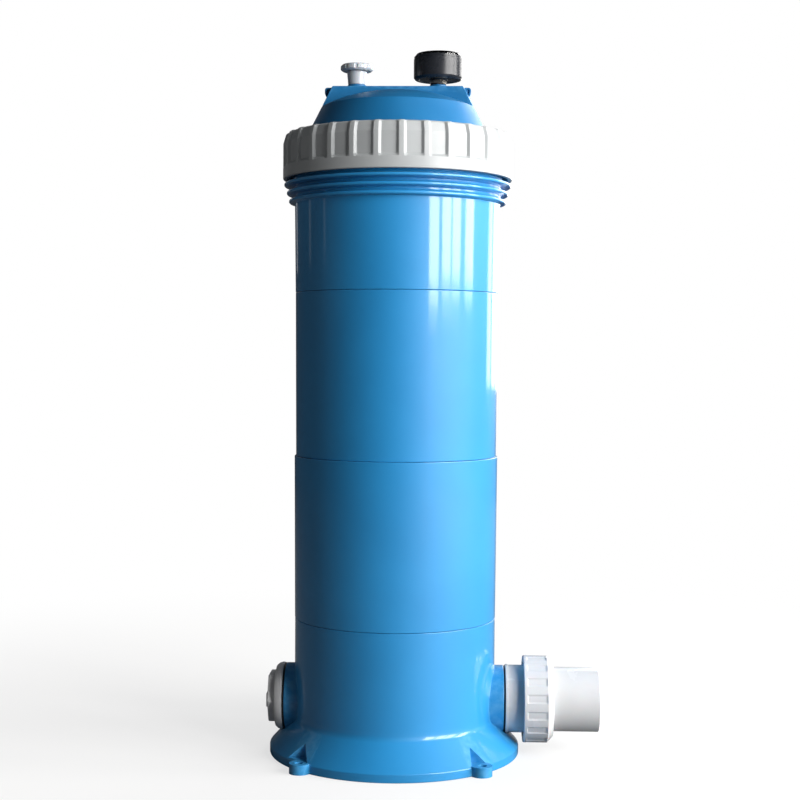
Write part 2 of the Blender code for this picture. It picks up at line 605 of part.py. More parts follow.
def pleated_media(axis):
    """Zigzag cloth: each pleat has a flat tip outside and a flat fold at the core."""
    bm = bmesh.new()
    pitch = 360 / PLEATS
    outer = ((MEDIA_OUT, -1.9), (MEDIA_OUT, 1.9), (MEDIA_IN + MEDIA_THICK, pitch / 2 - 1.2),
             (MEDIA_IN + MEDIA_THICK, pitch / 2 + 1.2))
    inner = ((MEDIA_OUT - MEDIA_THICK, -1.3), (MEDIA_OUT - MEDIA_THICK, 1.3),
             (MEDIA_IN, pitch / 2 - 2.5), (MEDIA_IN, pitch / 2 + 2.5))
    loops = []
    for corners, height in ((outer, MEDIA_LOW), (outer, MEDIA_TOP), (inner, MEDIA_TOP),
                            (inner, MEDIA_LOW)):
        loops.append([
            around(bm, radius, height, pleat * pitch + turn)
            for pleat in range(PLEATS)
            for radius, turn in corners
        ])
    for k, first in enumerate(loops):
        join_rings(bm, first, loops[(k + 1) % 4])
    add_object("cartridge_media", bm, "media", axis)


def core_tube(axis):
    """A tube with rows of slots in every other side."""
    sides, rows = 16, 5
    bm = bmesh.new()
    span = (MEDIA_TOP - MEDIA_LOW) / (2 * rows + 1)
    grids = [
        [[around(bm, radius, MEDIA_LOW + span * level, 360 * k / sides) for k in range(sides)]
         for level in range(2 * rows + 2)]
        for radius in (CORE_OUT, CORE_IN)
    ]
    outside, inside = grids
    for level in range(2 * rows + 1):
        for k in range(sides):
            n = (k + 1) % sides
            corners = ((level, k), (level, n), (level + 1, n), (level + 1, k))
            if level % 2 and k % 2:
                for (la, ka), (lb, kb) in zip(corners, corners[1:] + corners[:1]):
                    bm.faces.new((outside[la][ka], outside[lb][kb], inside[lb][kb], inside[la][ka]))
            else:
                for grid in grids:
                    bm.faces.new([grid[row][column] for row, column in corners])
    join_rings(bm, outside[0], inside[0])
    join_rings(bm, outside[-1], inside[-1])
    add_object("cartridge_core", bm, "white", axis)


def main():
    clear_scene()
    port_right = add_axis("port_right_axis", (0, 0, PORT_HIGH), (0, 90, 0))
    port_rear = add_axis("port_rear_axis", (0, 0, PORT_HIGH), (-90, 0, 0))
    port_drain = add_axis("drain_axis", (0, 0, PORT_HIGH), (0, -90, 0))
    tank_axis = add_axis("tank_axis", (0, 0, 0))
    tank_base({
        "right": (port_right, BOSS_REACH),
        "rear": (port_rear, BOSS_REACH),
        "drain": (port_drain, DRAIN_REACH),
    })
    tank_sections()
    lock_ring(tank_axis)
    lid(tank_axis)
    vent_axis = add_axis("vent_axis", (VENT_X, 0, 0))
    vent_valve(vent_axis)
    gauge_axis = add_axis("gauge_axis", (GAUGE_X, 0, 0))
    sector_axis = add_axis("sector_axis", (GAUGE_X + SECTOR_REACH + 2.6, 0, 0),
                           (0, 0, 180 - SECTOR_TURN / 2))
    gauge(gauge_axis, sector_axis)
    pipe_union("right", port_right)
    pipe_union("rear", port_rear)
    drain_plug(port_drain)
    outlet_elbow(tank_axis, port_rear)
    element(tank_axis)


main()
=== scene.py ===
import math

import bpy
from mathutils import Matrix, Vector


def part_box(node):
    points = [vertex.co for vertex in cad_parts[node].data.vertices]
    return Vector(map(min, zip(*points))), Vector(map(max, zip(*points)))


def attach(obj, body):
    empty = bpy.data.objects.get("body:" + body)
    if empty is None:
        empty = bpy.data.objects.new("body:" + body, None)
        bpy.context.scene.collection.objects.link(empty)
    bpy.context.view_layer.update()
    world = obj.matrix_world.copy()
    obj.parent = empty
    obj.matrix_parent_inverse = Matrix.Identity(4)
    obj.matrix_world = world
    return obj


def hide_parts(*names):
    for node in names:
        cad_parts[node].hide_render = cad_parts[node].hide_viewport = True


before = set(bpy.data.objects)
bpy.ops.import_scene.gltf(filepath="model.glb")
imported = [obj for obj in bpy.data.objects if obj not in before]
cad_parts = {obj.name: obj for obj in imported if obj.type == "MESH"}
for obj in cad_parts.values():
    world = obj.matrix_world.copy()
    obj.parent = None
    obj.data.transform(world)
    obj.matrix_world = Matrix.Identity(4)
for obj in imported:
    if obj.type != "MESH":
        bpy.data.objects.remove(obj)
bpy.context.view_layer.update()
mm = 0.001
print("frame loaded,", len(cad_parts), "nodes")


# Camera, light and floor

cameraLook = {
    "lens": 68.0,
    "standsOff": 1.5107,      # metres from the tank's axis
    "height": 0.3979,
    "aside": 0.0037,
    "turned": 1.9,            # degrees: the filter stands a little turned on its floor
    "tiltDown": 1.766,
    "roll": 0.36,
}


def addCamera(look):
    turn = math.radians(look["turned"])
    place = Vector((look["aside"], -look["standsOff"], look["height"]))
    bpy.ops.object.camera_add(location=(
        place.x * math.cos(turn) - place.y * math.sin(turn),
        place.x * math.sin(turn) + place.y * math.cos(turn),
        place.z,
    ))
    camera = bpy.context.object
    camera.rotation_euler = (math.radians(90 - look["tiltDown"]), 0, turn)
    camera.rotation_euler.rotate_axis("Z", math.radians(look["roll"]))
    camera.data.lens = look["lens"]
    bpy.context.scene.camera = camera
    bpy.context.scene.view_settings.view_transform = "Standard"


windowLook = {
    "away": 2.6,              # metres from the tank's axis
    "panes": ((35, 46, 0.50, 2.3, 13.0), (50, 60.5, 0.53, 2.3, 13.0), (62.5, 73, 0.53, 2.3, 13.0),
              (80, 92.5, 0.53, 2.3, 13.0)),      # from, to (degrees right of the lens), low, high, brightness
    "fill": ((30, 100, 0.0, 1.4, 5.6), (-100, -60, 0.2, 2.2, 0.5)),      # leaves no reflection
    "farPanes": ((122, 132, 0.3, 2.4, 5), (135, 150, 0.3, 2.4, 5), (154, 168, 0.3, 2.4, 5)),
    "leftStrips": ((-88, -85.5, 0.6, 2.2, 0.4), (-114, -111, 0.6, 2.2, 0.4), (-155, -150, 0.6, 2.4, 0.6)),
    "colour": (1.0, 0.985, 0.965),
    "room": ((0.72, 0.80, 0.90), 0.040),
}


def addPane(start, end, low, high, brightness, away, turned, colour):
    middle = math.radians((start + end) / 2 + turned - 90)
    width = 2 * away * math.tan(math.radians(end - start) / 2)
    place = Vector((away * math.cos(middle), away * math.sin(middle), (low + high) / 2))
    bpy.ops.object.light_add(type="AREA", location=place)
    lamp = bpy.context.object
    lamp.data.shape = "RECTANGLE"
    lamp.data.size = width
    lamp.data.size_y = high - low
    lamp.data.color = colour
    lamp.data.energy = brightness * math.pi * width * (high - low)
    lamp.rotation_euler = (math.radians(90), 0, middle + math.radians(90))
    return lamp


def addLight(look, turned):
    for rows in ("panes", "farPanes", "leftStrips"):
        for pane in look[rows]:
            addPane(*pane, look["away"], turned, look["colour"])
    for pane in look["fill"]:
        lamp = addPane(*pane, look["away"], turned, look["colour"])
        lamp.visible_glossy = False
    world = bpy.data.worlds.new("studio")
    world.use_nodes = True
    bpy.context.scene.world = world
    tree = world.node_tree
    behind = tree.nodes["Background"]
    behind.inputs["Color"].default_value = (1, 1, 1, 1)
    room = tree.nodes.new("ShaderNodeBackground")
    room.inputs["Color"].default_value = (*look["room"][0], 1)
    room.inputs["Strength"].default_value = look["room"][1]
    seen = tree.nodes.new("ShaderNodeLightPath")
    choose = tree.nodes.new("ShaderNodeMixShader")
    tree.links.new(seen.outputs["Is Camera Ray"], choose.inputs["Fac"])
    tree.links.new(room.outputs[0], choose.inputs[1])
    tree.links.new(behind.outputs[0], choose.inputs[2])
    tree.links.new(choose.outputs[0], tree.nodes["World Output"].inputs["Surface"])


floorLook = {
    "radius": 3.0,
    "fade": (0.30, 1.10),     # metres from the tank over which the floor goes over into the backdrop
    "least": 0.70,
    "pale": 0.86,
    "bounce": 0.14,           # how much of the light it sends back up
}


def addFloor(look):
    bpy.ops.mesh.primitive_circle_add(vertices=96, radius=look["radius"], fill_type="NGON")
    floor = bpy.context.object
    floor.name = "studioFloor"
    material = bpy.data.materials.new("studioFloor")
    material.use_nodes = True
    tree = material.node_tree
    shader = tree.nodes["Principled BSDF"]
    shader.inputs["Base Color"].default_value = (look["pale"], look["pale"], look["pale"], 1)
    shader.inputs["Roughness"].default_value = 0.9
    shader.inputs["Specular IOR Level"].default_value = 0.0
    back = tree.nodes.new("ShaderNodeBsdfDiffuse")
    back.inputs["Color"].default_value = (look["bounce"], look["bounce"], look["bounce"], 1)
    white = tree.nodes.new("ShaderNodeEmission")
    place = tree.nodes.new("ShaderNodeTexCoord")
    away = tree.nodes.new("ShaderNodeVectorMath")
    away.operation = "LENGTH"
    fade = tree.nodes.new("ShaderNodeMapRange")
    fade.interpolation_type = "SMOOTHSTEP"
    values = (*look["fade"], look["least"], 1.0)
    for socket, value in zip(("From Min", "From Max", "To Min", "To Max"), values):
        fade.inputs[socket].default_value = value
    seen = tree.nodes.new("ShaderNodeLightPath")
    join = tree.nodes.new("ShaderNodeMixShader")
    choose = tree.nodes.new("ShaderNodeMixShader")
    tree.links.new(place.outputs["Object"], away.inputs[0])
    tree.links.new(away.outputs["Value"], fade.inputs["Value"])
    tree.links.new(fade.outputs["Result"], join.inputs["Fac"])
    tree.links.new(shader.outputs[0], join.inputs[1])
    tree.links.new(white.outputs[0], join.inputs[2])
    tree.links.new(seen.outputs["Is Camera Ray"], choose.inputs["Fac"])
    tree.links.new(back.outputs[0], choose.inputs[1])
    tree.links.new(join.outputs[0], choose.inputs[2])
    tree.links.new(choose.outputs[0], tree.nodes["Material Output"].inputs["Surface"])
    floor.data.materials.append(material)


addCamera(cameraLook)
addLight(windowLook, cameraLook["turned"])
addFloor(floorLook)
print("camera, light and floor are in")


# Finishes. Sizes of noise and heights of bumps are in millimetres.

def link(tree, start, end):
    tree.links.new(start, end)


def stretched(tree, place, stretch):
    node = tree.nodes.new("ShaderNodeMapping")
    node.inputs["Scale"].default_value = stretch
    link(tree, place, node.inputs["Vector"])
    return node.outputs["Vector"]


def noiseOf(tree, place, size, detail=3.0, rough=0.5):
    node = tree.nodes.new("ShaderNodeTexNoise")
    node.inputs["Scale"].default_value = 1 / (size * mm)
    node.inputs["Detail"].default_value = detail
    node.inputs["Roughness"].default_value = rough
    link(tree, place, node.inputs["Vector"])
    return node.outputs["Fac"]


def remap(tree, value, low, high, toLow, toHigh):
    node = tree.nodes.new("ShaderNodeMapRange")
    for socket, number in (("From Min", low), ("From Max", high), ("To Min", toLow), ("To Max", toHigh)):
        node.inputs[socket].default_value = number
    link(tree, value, node.inputs["Value"])
    return node.outputs["Result"]


def combineValues(tree, how, first, second):
    node = tree.nodes.new("ShaderNodeMath")
    node.operation = how
    for socket, value in zip(node.inputs, (first, second)):
        if isinstance(value, (int, float)):
            socket.default_value = value
        else:
            link(tree, value, socket)
    return node.outputs[0]


def blendColours(tree, factor, first, second):
    node = tree.nodes.new("ShaderNodeMix")
    node.data_type = "RGBA"
    link(tree, factor, node.inputs["Factor"])
    for socket, colour in ((node.inputs[6], first), (node.inputs[7], second)):
        if isinstance(colour, tuple):
            socket.default_value = (*colour, 1)
        else:
            link(tree, colour, socket)
    return node.outputs[2]


def bumpOf(tree, height, deep, after=None):
    node = tree.nodes.new("ShaderNodeBump")
    node.inputs["Strength"].default_value = 1.0
    node.inputs["Distance"].default_value = deep * mm
    link(tree, height, node.inputs["Height"])
    if after:
        link(tree, after, node.inputs["Normal"])
    return node.outputs["Normal"]


def startMaterial(name):
    material = bpy.data.materials.new(name)
    material.use_nodes = True
    tree = material.node_tree
    place = tree.nodes.new("ShaderNodeTexCoord").outputs["Object"]
    return material, tree, tree.nodes["Principled BSDF"], place


def edgeOf(tree, low=0.52, high=0.60):
    bends = tree.nodes.new("ShaderNodeNewGeometry").outputs["Pointiness"]
    return remap(tree, bends, low, high, 0, 1)


def scratchesOf(tree, place, size, thin, turn):
    node = tree.nodes.new("ShaderNodeMapping")
    node.inputs["Rotation"].default_value = turn
    node.inputs["Scale"].default_value = (1, 1, 0.04)
    link(tree, place, node.inputs["Vector"])
    field = noiseOf(tree, node.outputs["Vector"], size, 1.0)
    ridge = combineValues(tree, "ABSOLUTE", combineValues(tree, "SUBTRACT", field, 0.5), 0)
    patches = remap(tree, noiseOf(tree, place, 30, 2.0), 0.52, 0.62, 0, 1)
    return combineValues(tree, "MULTIPLY", remap(tree, ridge, 0, thin, 1, 0), patches)


def mouldedPlastic(name, look):
    material, tree, shader, place = startMaterial(name)
    cloud = remap(tree, noiseOf(tree, place, look["cloud"], 4.0), 0.3, 0.7, 0, 1)
    colour = blendColours(tree, cloud, look["deep"], look["pale"])
    worn = combineValues(tree, "MULTIPLY", edgeOf(tree),
        remap(tree, noiseOf(tree, place, 6, 5.0), 0.35, 0.7, 0, look["wear"]))
    colour = blendColours(tree, worn, colour, look["wornTo"])
    specks = remap(tree, noiseOf(tree, place, 1.1, 2.0), 0.70, 0.76, 0, look["specks"])
    colour = blendColours(tree, specks, colour, look["wornTo"])
    link(tree, colour, shader.inputs["Base Color"])
    scratches = scratchesOf(tree, place, look["scratchSize"], 0.006, (0.35, 0.9, 0.2))
    smear = noiseOf(tree, place, 22, 6.0, 0.62)
    rough = remap(tree, smear, 0.3, 0.72, look["rough"][0], look["rough"][1])
    rough = combineValues(tree, "ADD", rough, combineValues(tree, "MULTIPLY", scratches, look["scratches"]))
    rough = combineValues(tree, "ADD", rough, combineValues(tree, "MULTIPLY", worn, 0.25))
    link(tree, rough, shader.inputs["Roughness"])
    normal = bumpOf(tree, noiseOf(tree, place, look["waves"][0], 1.0), look["waves"][1])
    normal = bumpOf(tree, noiseOf(tree, place, look["peel"][0], 2.0), look["peel"][1], normal)
    normal = bumpOf(tree, noiseOf(tree, place, look["grain"][0], 3.0), look["grain"][1], normal)
    normal = bumpOf(tree, combineValues(tree, "MULTIPLY", scratches, -1.0), 0.004, normal)
    link(tree, normal, shader.inputs["Normal"])
    shader.inputs["IOR"].default_value = look["gloss"]
    if look.get("haze"):
        shader.inputs["Coat Weight"].default_value = look["haze"][0]
        shader.inputs["Coat Roughness"].default_value = look["haze"][1]
        shader.inputs["Coat IOR"].default_value = look["gloss"]
    if look.get("soft"):
        shader.inputs["Subsurface Weight"].default_value = look["soft"]
        shader.inputs["Subsurface Scale"].default_value = 0.002
    return material


def rubber(name):
    material, tree, shader, place = startMaterial(name)
    bloom = remap(tree, noiseOf(tree, place, 7, 6.0, 0.6), 0.45, 0.75, 0, 1)
    link(tree, blendColours(tree, bloom, (0.010, 0.010, 0.011), (0.030, 0.030, 0.032)),
        shader.inputs["Base Color"])
    link(tree, remap(tree, bloom, 0, 1, 0.48, 0.72), shader.inputs["Roughness"])
    normal = bumpOf(tree, noiseOf(tree, place, 0.5, 3.0), 0.02)
    link(tree, bumpOf(tree, noiseOf(tree, place, 5, 2.0), 0.05, normal), shader.inputs["Normal"])
    return material


def turnedMetal(name, look):
    material, tree, shader, place = startMaterial(name)
    tarnish = remap(tree, noiseOf(tree, place, 5, 6.0, 0.65), 0.42, 0.70, 0, 1)
    link(tree, blendColours(tree, tarnish, look["bright"], look["dull"]), shader.inputs["Base Color"])
    lines = noiseOf(tree, stretched(tree, place, (0.05, 0.05, 1)), 0.35, 2.0)
    rough = remap(tree, tarnish, 0, 1, 0.20, 0.42)
    rough = combineValues(tree, "ADD", rough, remap(tree, lines, 0.3, 0.7, 0, 0.12))
    link(tree, rough, shader.inputs["Roughness"])
    link(tree, bumpOf(tree, lines, 0.012), shader.inputs["Normal"])
    shader.inputs["Metallic"].default_value = 1.0
    return material


def clearAcrylic(name):
    material, tree, shader, place = startMaterial(name)
    haze = remap(tree, noiseOf(tree, place, 9, 5.0), 0.35, 0.7, 0, 1)
    link(tree, blendColours(tree, haze, (0.97, 0.985, 0.99), (0.90, 0.94, 0.96)),
        shader.inputs["Base Color"])
    scratches = scratchesOf(tree, place, 2.2, 0.01, (0.9, 0.3, 0.2))
    rough = combineValues(tree, "ADD", remap(tree, haze, 0, 1, 0.01, 0.05),
        combineValues(tree, "MULTIPLY", scratches, 0.2))
    link(tree, rough, shader.inputs["Roughness"])
    link(tree, bumpOf(tree, noiseOf(tree, place, 8, 1.0), 0.01), shader.inputs["Normal"])
    shader.inputs["Transmission Weight"].default_value = 1.0
    shader.inputs["IOR"].default_value = 1.49
    return material


def filterCloth(name):
    material, tree, shader, place = startMaterial(name)
    fibres = noiseOf(tree, stretched(tree, place, (1, 1, 0.25)), 0.5, 6.0, 0.7)
    cross = noiseOf(tree, stretched(tree, place, (0.3, 0.3, 1.2)), 0.7, 5.0, 0.7)
    weave = combineValues(tree, "MULTIPLY", fibres, cross)
    tint = remap(tree, noiseOf(tree, place, 45, 4.0), 0.35, 0.7, 0, 1)
    colour = blendColours(tree, tint, (0.74, 0.78, 0.80), (0.66, 0.68, 0.64))
    colour = blendColours(tree, remap(tree, weave, 0.12, 0.38, 1, 0), colour, (0.42, 0.45, 0.46))
    link(tree, colour, shader.inputs["Base Color"])
    link(tree, remap(tree, fibres, 0.3, 0.7, 0.75, 0.95), shader.inputs["Roughness"])
    link(tree, bumpOf(tree, weave, 0.18), shader.inputs["Normal"])
    shader.inputs["Sheen Weight"].default_value = 0.25
    shader.inputs["Sheen Roughness"].default_value = 0.5
    return material


def paintedMetal(name, deep, pale):
    material, tree, shader, place = startMaterial(name)
    cloud = remap(tree, noiseOf(tree, place, 4, 4.0), 0.35, 0.7, 0, 1)
    link(tree, blendColours(tree, cloud, deep, pale), shader.inputs["Base Color"])
    link(tree, remap(tree, cloud, 0, 1, 0.30, 0.42), shader.inputs["Roughness"])
    link(tree, bumpOf(tree, noiseOf(tree, place, 0.35, 2.0), 0.004), shader.inputs["Normal"])
    return material


tankFinish = {
    "deep": (0.012, 0.225, 0.520), "pale": (0.016, 0.255, 0.575), "wornTo": (0.10, 0.38, 0.66),
    "haze": (1.0, 0.50),      # weight and roughness of a soft sheen over the gloss
    "cloud": 90, "wear": 0.5, "specks": 0.10, "rough": (0.055, 0.13), "scratches": 0.12,
    "scratchSize": 3.0, "waves": (55, 0.10), "peel": (2.6, 0.004), "grain": (0.4, 0.0006), "gloss": 1.5,
}
lidFinish = {
    "deep": (0.008, 0.130, 0.315), "pale": (0.011, 0.152, 0.355), "wornTo": (0.10, 0.36, 0.64),
    "cloud": 60, "wear": 0.5, "specks": 0.12, "rough": (0.38, 0.50), "scratches": 0.14,
    "scratchSize": 3.0, "waves": (40, 0.05), "peel": (1.6, 0.006), "grain": (0.35, 0.004), "gloss": 1.47,
}
ringFinish = {
    "deep": (0.380, 0.398, 0.408), "pale": (0.420, 0.440, 0.450), "wornTo": (0.76, 0.77, 0.77),
    "cloud": 35, "wear": 0.7, "specks": 0.25, "rough": (0.32, 0.48), "scratches": 0.15,
    "scratchSize": 2.5, "waves": (30, 0.04), "peel": (1.4, 0.008), "grain": (0.3, 0.004), "gloss": 1.46,
}
unionFinish = {
    "deep": (0.590, 0.602, 0.622), "pale": (0.635, 0.646, 0.662), "wornTo": (0.84, 0.84, 0.83),
    "cloud": 40, "wear": 0.5, "specks": 0.15, "rough": (0.18, 0.30), "scratches": 0.16,
    "scratchSize": 2.5, "waves": (30, 0.04), "peel": (1.8, 0.004), "grain": (0.3, 0.002), "gloss": 1.5,
    "soft": 0.08,
}
ventFinish = {
    "deep": (0.430, 0.470, 0.520), "pale": (0.490, 0.520, 0.555), "wornTo": (0.84, 0.85, 0.86),
    "cloud": 12, "wear": 0.5, "specks": 0.12, "rough": (0.16, 0.28), "scratches": 0.12,
    "scratchSize": 1.5, "waves": (14, 0.02), "peel": (1.2, 0.003), "grain": (0.25, 0.002), "gloss": 1.5,
    "soft": 0.15,
}
innerFinish = {
    "deep": (0.740, 0.735, 0.700), "pale": (0.800, 0.795, 0.770), "wornTo": (0.86, 0.85, 0.82),
    "cloud": 40, "wear": 0.4, "specks": 0.20, "rough": (0.30, 0.46), "scratches": 0.12,
    "scratchSize": 2.5, "waves": (30, 0.04), "peel": (1.6, 0.006), "grain": (0.3, 0.003), "gloss": 1.46,
}
washerFinish = {
    "deep": (0.780, 0.785, 0.775), "pale": (0.840, 0.840, 0.830), "wornTo": (0.70, 0.70, 0.68),
    "cloud": 20, "wear": 0.3, "specks": 0.20, "rough": (0.22, 0.36), "scratches": 0.30,
    "scratchSize": 1.6, "waves": (20, 0.02), "peel": (1.2, 0.003), "grain": (0.25, 0.002), "gloss": 1.48,
    "soft": 0.2,
}
plugFinish = {
    "deep": (0.680, 0.685, 0.700), "pale": (0.740, 0.745, 0.755), "wornTo": (0.70, 0.70, 0.70),
    "cloud": 18, "wear": 0.7, "specks": 0.30, "rough": (0.30, 0.44), "scratches": 0.15,
    "scratchSize": 2.0, "waves": (20, 0.03), "peel": (1.2, 0.006), "grain": (0.3, 0.004), "gloss": 1.47,
}
gaugeFinish = {
    "deep": (0.010, 0.012, 0.016), "pale": (0.018, 0.020, 0.025), "wornTo": (0.09, 0.09, 0.10),
    "cloud": 14, "wear": 0.6, "specks": 0.20, "rough": (0.22, 0.34), "scratches": 0.16,
    "scratchSize": 1.6, "waves": (16, 0.02), "peel": (1.1, 0.006), "grain": (0.3, 0.004), "gloss": 1.5,
}
capFinish = {
    "deep": (0.022, 0.085, 0.250), "pale": (0.036, 0.120, 0.310), "wornTo": (0.14, 0.26, 0.45),
    "cloud": 16, "wear": 0.5, "specks": 0.30, "rough": (0.42, 0.60), "scratches": 0.08,
    "scratchSize": 2.5, "waves": (12, 0.08), "peel": (2.0, 0.03), "grain": (0.5, 0.01), "gloss": 1.45,
}
stemMetal = {"bright": (0.74, 0.70, 0.62), "dull": (0.52, 0.49, 0.43)}
worksMetal = {"bright": (0.80, 0.60, 0.28), "dull": (0.55, 0.38, 0.16)}

finishes = {
    "tank": mouldedPlastic("glossBlue", tankFinish),
    "lid": mouldedPlastic("satinBlue", lidFinish),
    "ring": mouldedPlastic("ringGrey", ringFinish),
    "union": mouldedPlastic("pipeWhite", unionFinish),
    "vent": mouldedPlastic("ventWhite", ventFinish),
    "inner": mouldedPlastic("innerCream", innerFinish),
    "washer": mouldedPlastic("slipWhite", washerFinish),
    "plug": mouldedPlastic("plugGrey", plugFinish),
    "gauge": mouldedPlastic("gaugeBlack", gaugeFinish),
    "cap": mouldedPlastic("castBlue", capFinish),
    "rubber": rubber("sealRubber"),
    "stem": turnedMetal("platedBrass", stemMetal),
    "works": turnedMetal("worksBrass", worksMetal),
    "clear": clearAcrylic("clearWindow"),
    "cloth": filterCloth("filterCloth"),
    "dial": paintedMetal("dialPaint", (0.78, 0.79, 0.78), (0.84, 0.84, 0.83)),
    "ink": paintedMetal("dialInk", (0.010, 0.010, 0.012), (0.020, 0.020, 0.022)),
    "pointer": paintedMetal("pointerPaint", (0.50, 0.012, 0.010), (0.58, 0.022, 0.018)),
}
print("finishes are made:", len(finishes))


# Modelling helpers. Lengths are in millimetres.

upright = {"centre": (0, 0, 0), "along": (0, 0, 1), "side": (1, 0, 0)}


def deselectAll():
    if bpy.context.object and bpy.context.object.mode != "OBJECT":
        bpy.ops.object.mode_set(mode="OBJECT")
    bpy.ops.object.select_all(action="DESELECT")


def pickOnly(piece):
    deselectAll()
    piece.select_set(True)
    bpy.context.view_layer.objects.active = piece


def pickPart(piece, test, kind="vertices"):
    # leaves the piece in edit mode with just the matching vertices, edges or faces selected
    pickOnly(piece)
    bpy.ops.object.mode_set(mode="EDIT")
    bpy.ops.mesh.select_mode(type={"vertices": "VERT", "edges": "EDGE", "polygons": "FACE"}[kind])
    bpy.ops.mesh.select_all(action="DESELECT")
    bpy.ops.object.mode_set(mode="OBJECT")
    for part in getattr(piece.data, kind):
        part.select = test(part)
    bpy.ops.object.mode_set(mode="EDIT")


def rounded(points):
    # corners given as (radius, height, fillet) become short curves
    corners = []
    for number, point in enumerate(points):
        here = Vector(point[:2])
        fillet = point[2] if len(point) > 2 else 0
        if not fillet:
            corners.append(here)
            continue
        back = Vector(points[number - 1][:2]) - here
        ahead = Vector(points[(number + 1) % len(points)][:2]) - here
        turn = math.pi - back.angle(ahead)
        reach = min(fillet * math.tan(turn / 2), 0.49 * back.length, 0.49 * ahead.length)
        start = here + back.normalized() * reach
        end = here + ahead.normalized() * reach
        steps = max(2, round(math.degrees(turn) / 22))
        for k in range(steps + 1):
            t = k / steps
            corners.append(start * (1 - t) ** 2 + here * 2 * t * (1 - t) + end * t ** 2)
    return corners


def spinOutline(name, outline, steps=128, axis=upright):
    deselectAll()
    points = rounded(outline)
    along, side = Vector(axis["along"]), Vector(axis["side"])
    centre = Vector(axis["centre"]) * mm
    places = [centre + side * (point.x * mm) + along * (point.y * mm) for point in points]
    bpy.ops.mesh.primitive_plane_add(size=0.01)
    piece = bpy.context.object
    piece.name = name
    piece.data.name = name
    bpy.ops.object.mode_set(mode="EDIT")
    bpy.ops.mesh.select_mode(type="VERT")
    bpy.ops.mesh.select_all(action="SELECT")
    bpy.ops.mesh.merge(type="CENTER")
    bpy.ops.transform.translate(value=places[0])
    for here, there in zip(places, places[1:]):
        bpy.ops.mesh.extrude_region_move(TRANSFORM_OT_translate={"value": there - here})
    if points[0].x or points[-1].x:
        ends = (0, len(places) - 1)
        pickPart(piece, lambda vertex: vertex.index in ends)
        bpy.ops.mesh.edge_face_add()
    bpy.ops.mesh.select_all(action="SELECT")
    bpy.ops.mesh.spin(steps=steps, angle=2 * math.pi, center=centre, axis=along, use_auto_merge=True)
    bpy.ops.mesh.select_all(action="SELECT")
    bpy.ops.mesh.remove_doubles(threshold=0.000002)
    bpy.ops.mesh.delete_loose(use_verts=True, use_edges=True, use_faces=False)
    bpy.ops.mesh.normals_make_consistent(inside=False)
    bpy.ops.object.mode_set(mode="OBJECT")
    return piece


def addBlock(name, low, high):
    deselectAll()
    low, high = Vector(low), Vector(high)
    bpy.ops.mesh.primitive_cube_add(size=1, location=(low + high) / 2 * mm, scale=(high - low) * mm)
    piece = bpy.context.object
    piece.name = name
    bpy.ops.object.transform_apply(location=True, rotation=True, scale=True)
    return piece


def addRod(name, radius, low, high, axis=upright, steps=48):
    return spinOutline(name, [(0, low), (radius, low), (radius, high), (0, high)], steps, axis)


def runModifier(piece, kind, **settings):
    pickOnly(piece)
    bpy.ops.object.modifier_add(type=kind)
    step = piece.modifiers[-1]
    for setting, value in settings.items():
        setattr(step, setting, value)
    bpy.ops.object.modifier_apply(modifier=step.name)


def combineWith(piece, how, *tools):
    for tool in tools:
        runModifier(piece, "BOOLEAN", operation=how, solver="EXACT", object=tool)
        bpy.data.objects.remove(tool, do_unlink=True)
    return piece


def turnedCopy(piece, degrees, centre=(0, 0, 0), name=None):
    # a copy with its own mesh, turned about an upright axis
    pickOnly(piece)
    bpy.ops.object.duplicate(linked=False)
    twin = bpy.context.object
    twin.name = name or piece.name
    turn = math.radians(degrees)
    x, y = centre[0] * mm, centre[1] * mm
    twin.location = (x - x * math.cos(turn) + y * math.sin(turn),
        y - x * math.sin(turn) - y * math.cos(turn), 0)
    twin.rotation_euler = (0, 0, turn)
    bpy.ops.object.transform_apply(location=True, rotation=True, scale=True)
    return twin


def joinAll(pieces):
    pickOnly(pieces[0])
    for piece in pieces:
        piece.select_set(True)
    bpy.ops.object.join()
    return bpy.context.object


def softenEdges(piece, width, segments=2, angle=38):
    runModifier(piece, "BEVEL", width=width * mm, segments=segments, limit_method="ANGLE",
                angle_limit=math.radians(angle), miter_outer="MITER_ARC")


def addThread(piece, thread, axis=upright):
    # a right-hand ridge: one trapezoid wound up the axis, ends closed, united with the piece
    deselectAll()
    root, crest, foot = thread["root"], thread["crest"], thread["start"]
    half, tip = thread["half"], thread["tip"]
    corners = ((root, foot - half), (crest, foot - tip), (crest, foot + tip), (root, foot + half))
    bpy.ops.mesh.primitive_plane_add(size=0.01)
    ridge = bpy.context.object
    for vertex, (radius, height) in zip(ridge.data.vertices,
        (corners[0], corners[1], corners[3], corners[2])):
        vertex.co = (radius * mm, 0, height * mm)
    runModifier(ridge, "SCREW", axis="Z", angle=2 * math.pi * thread["turns"],
                screw_offset=thread["pitch"] * thread["turns"] * mm,
                steps=int(thread["steps"] * thread["turns"]),
                render_steps=int(thread["steps"] * thread["turns"]), use_merge_vertices=False)
    bpy.ops.object.mode_set(mode="EDIT")
    bpy.ops.mesh.select_all(action="SELECT")
    bpy.ops.mesh.remove_doubles(threshold=0.000002)
    bpy.ops.mesh.fill_holes(sides=4)
    bpy.ops.mesh.normals_make_consistent(inside=False)
    bpy.ops.object.mode_set(mode="OBJECT")
    centre, along, side = (Vector(axis[key]) for key in ("centre", "along", "side"))
    turn = thread.get("phase", 0)
    frameOf = Vector.cross(along, side)
    for vertex in ridge.data.vertices:
        x, y, z = vertex.co
        c, s = math.cos(math.radians(turn)), math.sin(math.radians(turn))
        vertex.co = centre * mm + side * (x * c - y * s) + frameOf * (x * s + y * c) + along * z
    return combineWith(piece, "UNION", ridge)


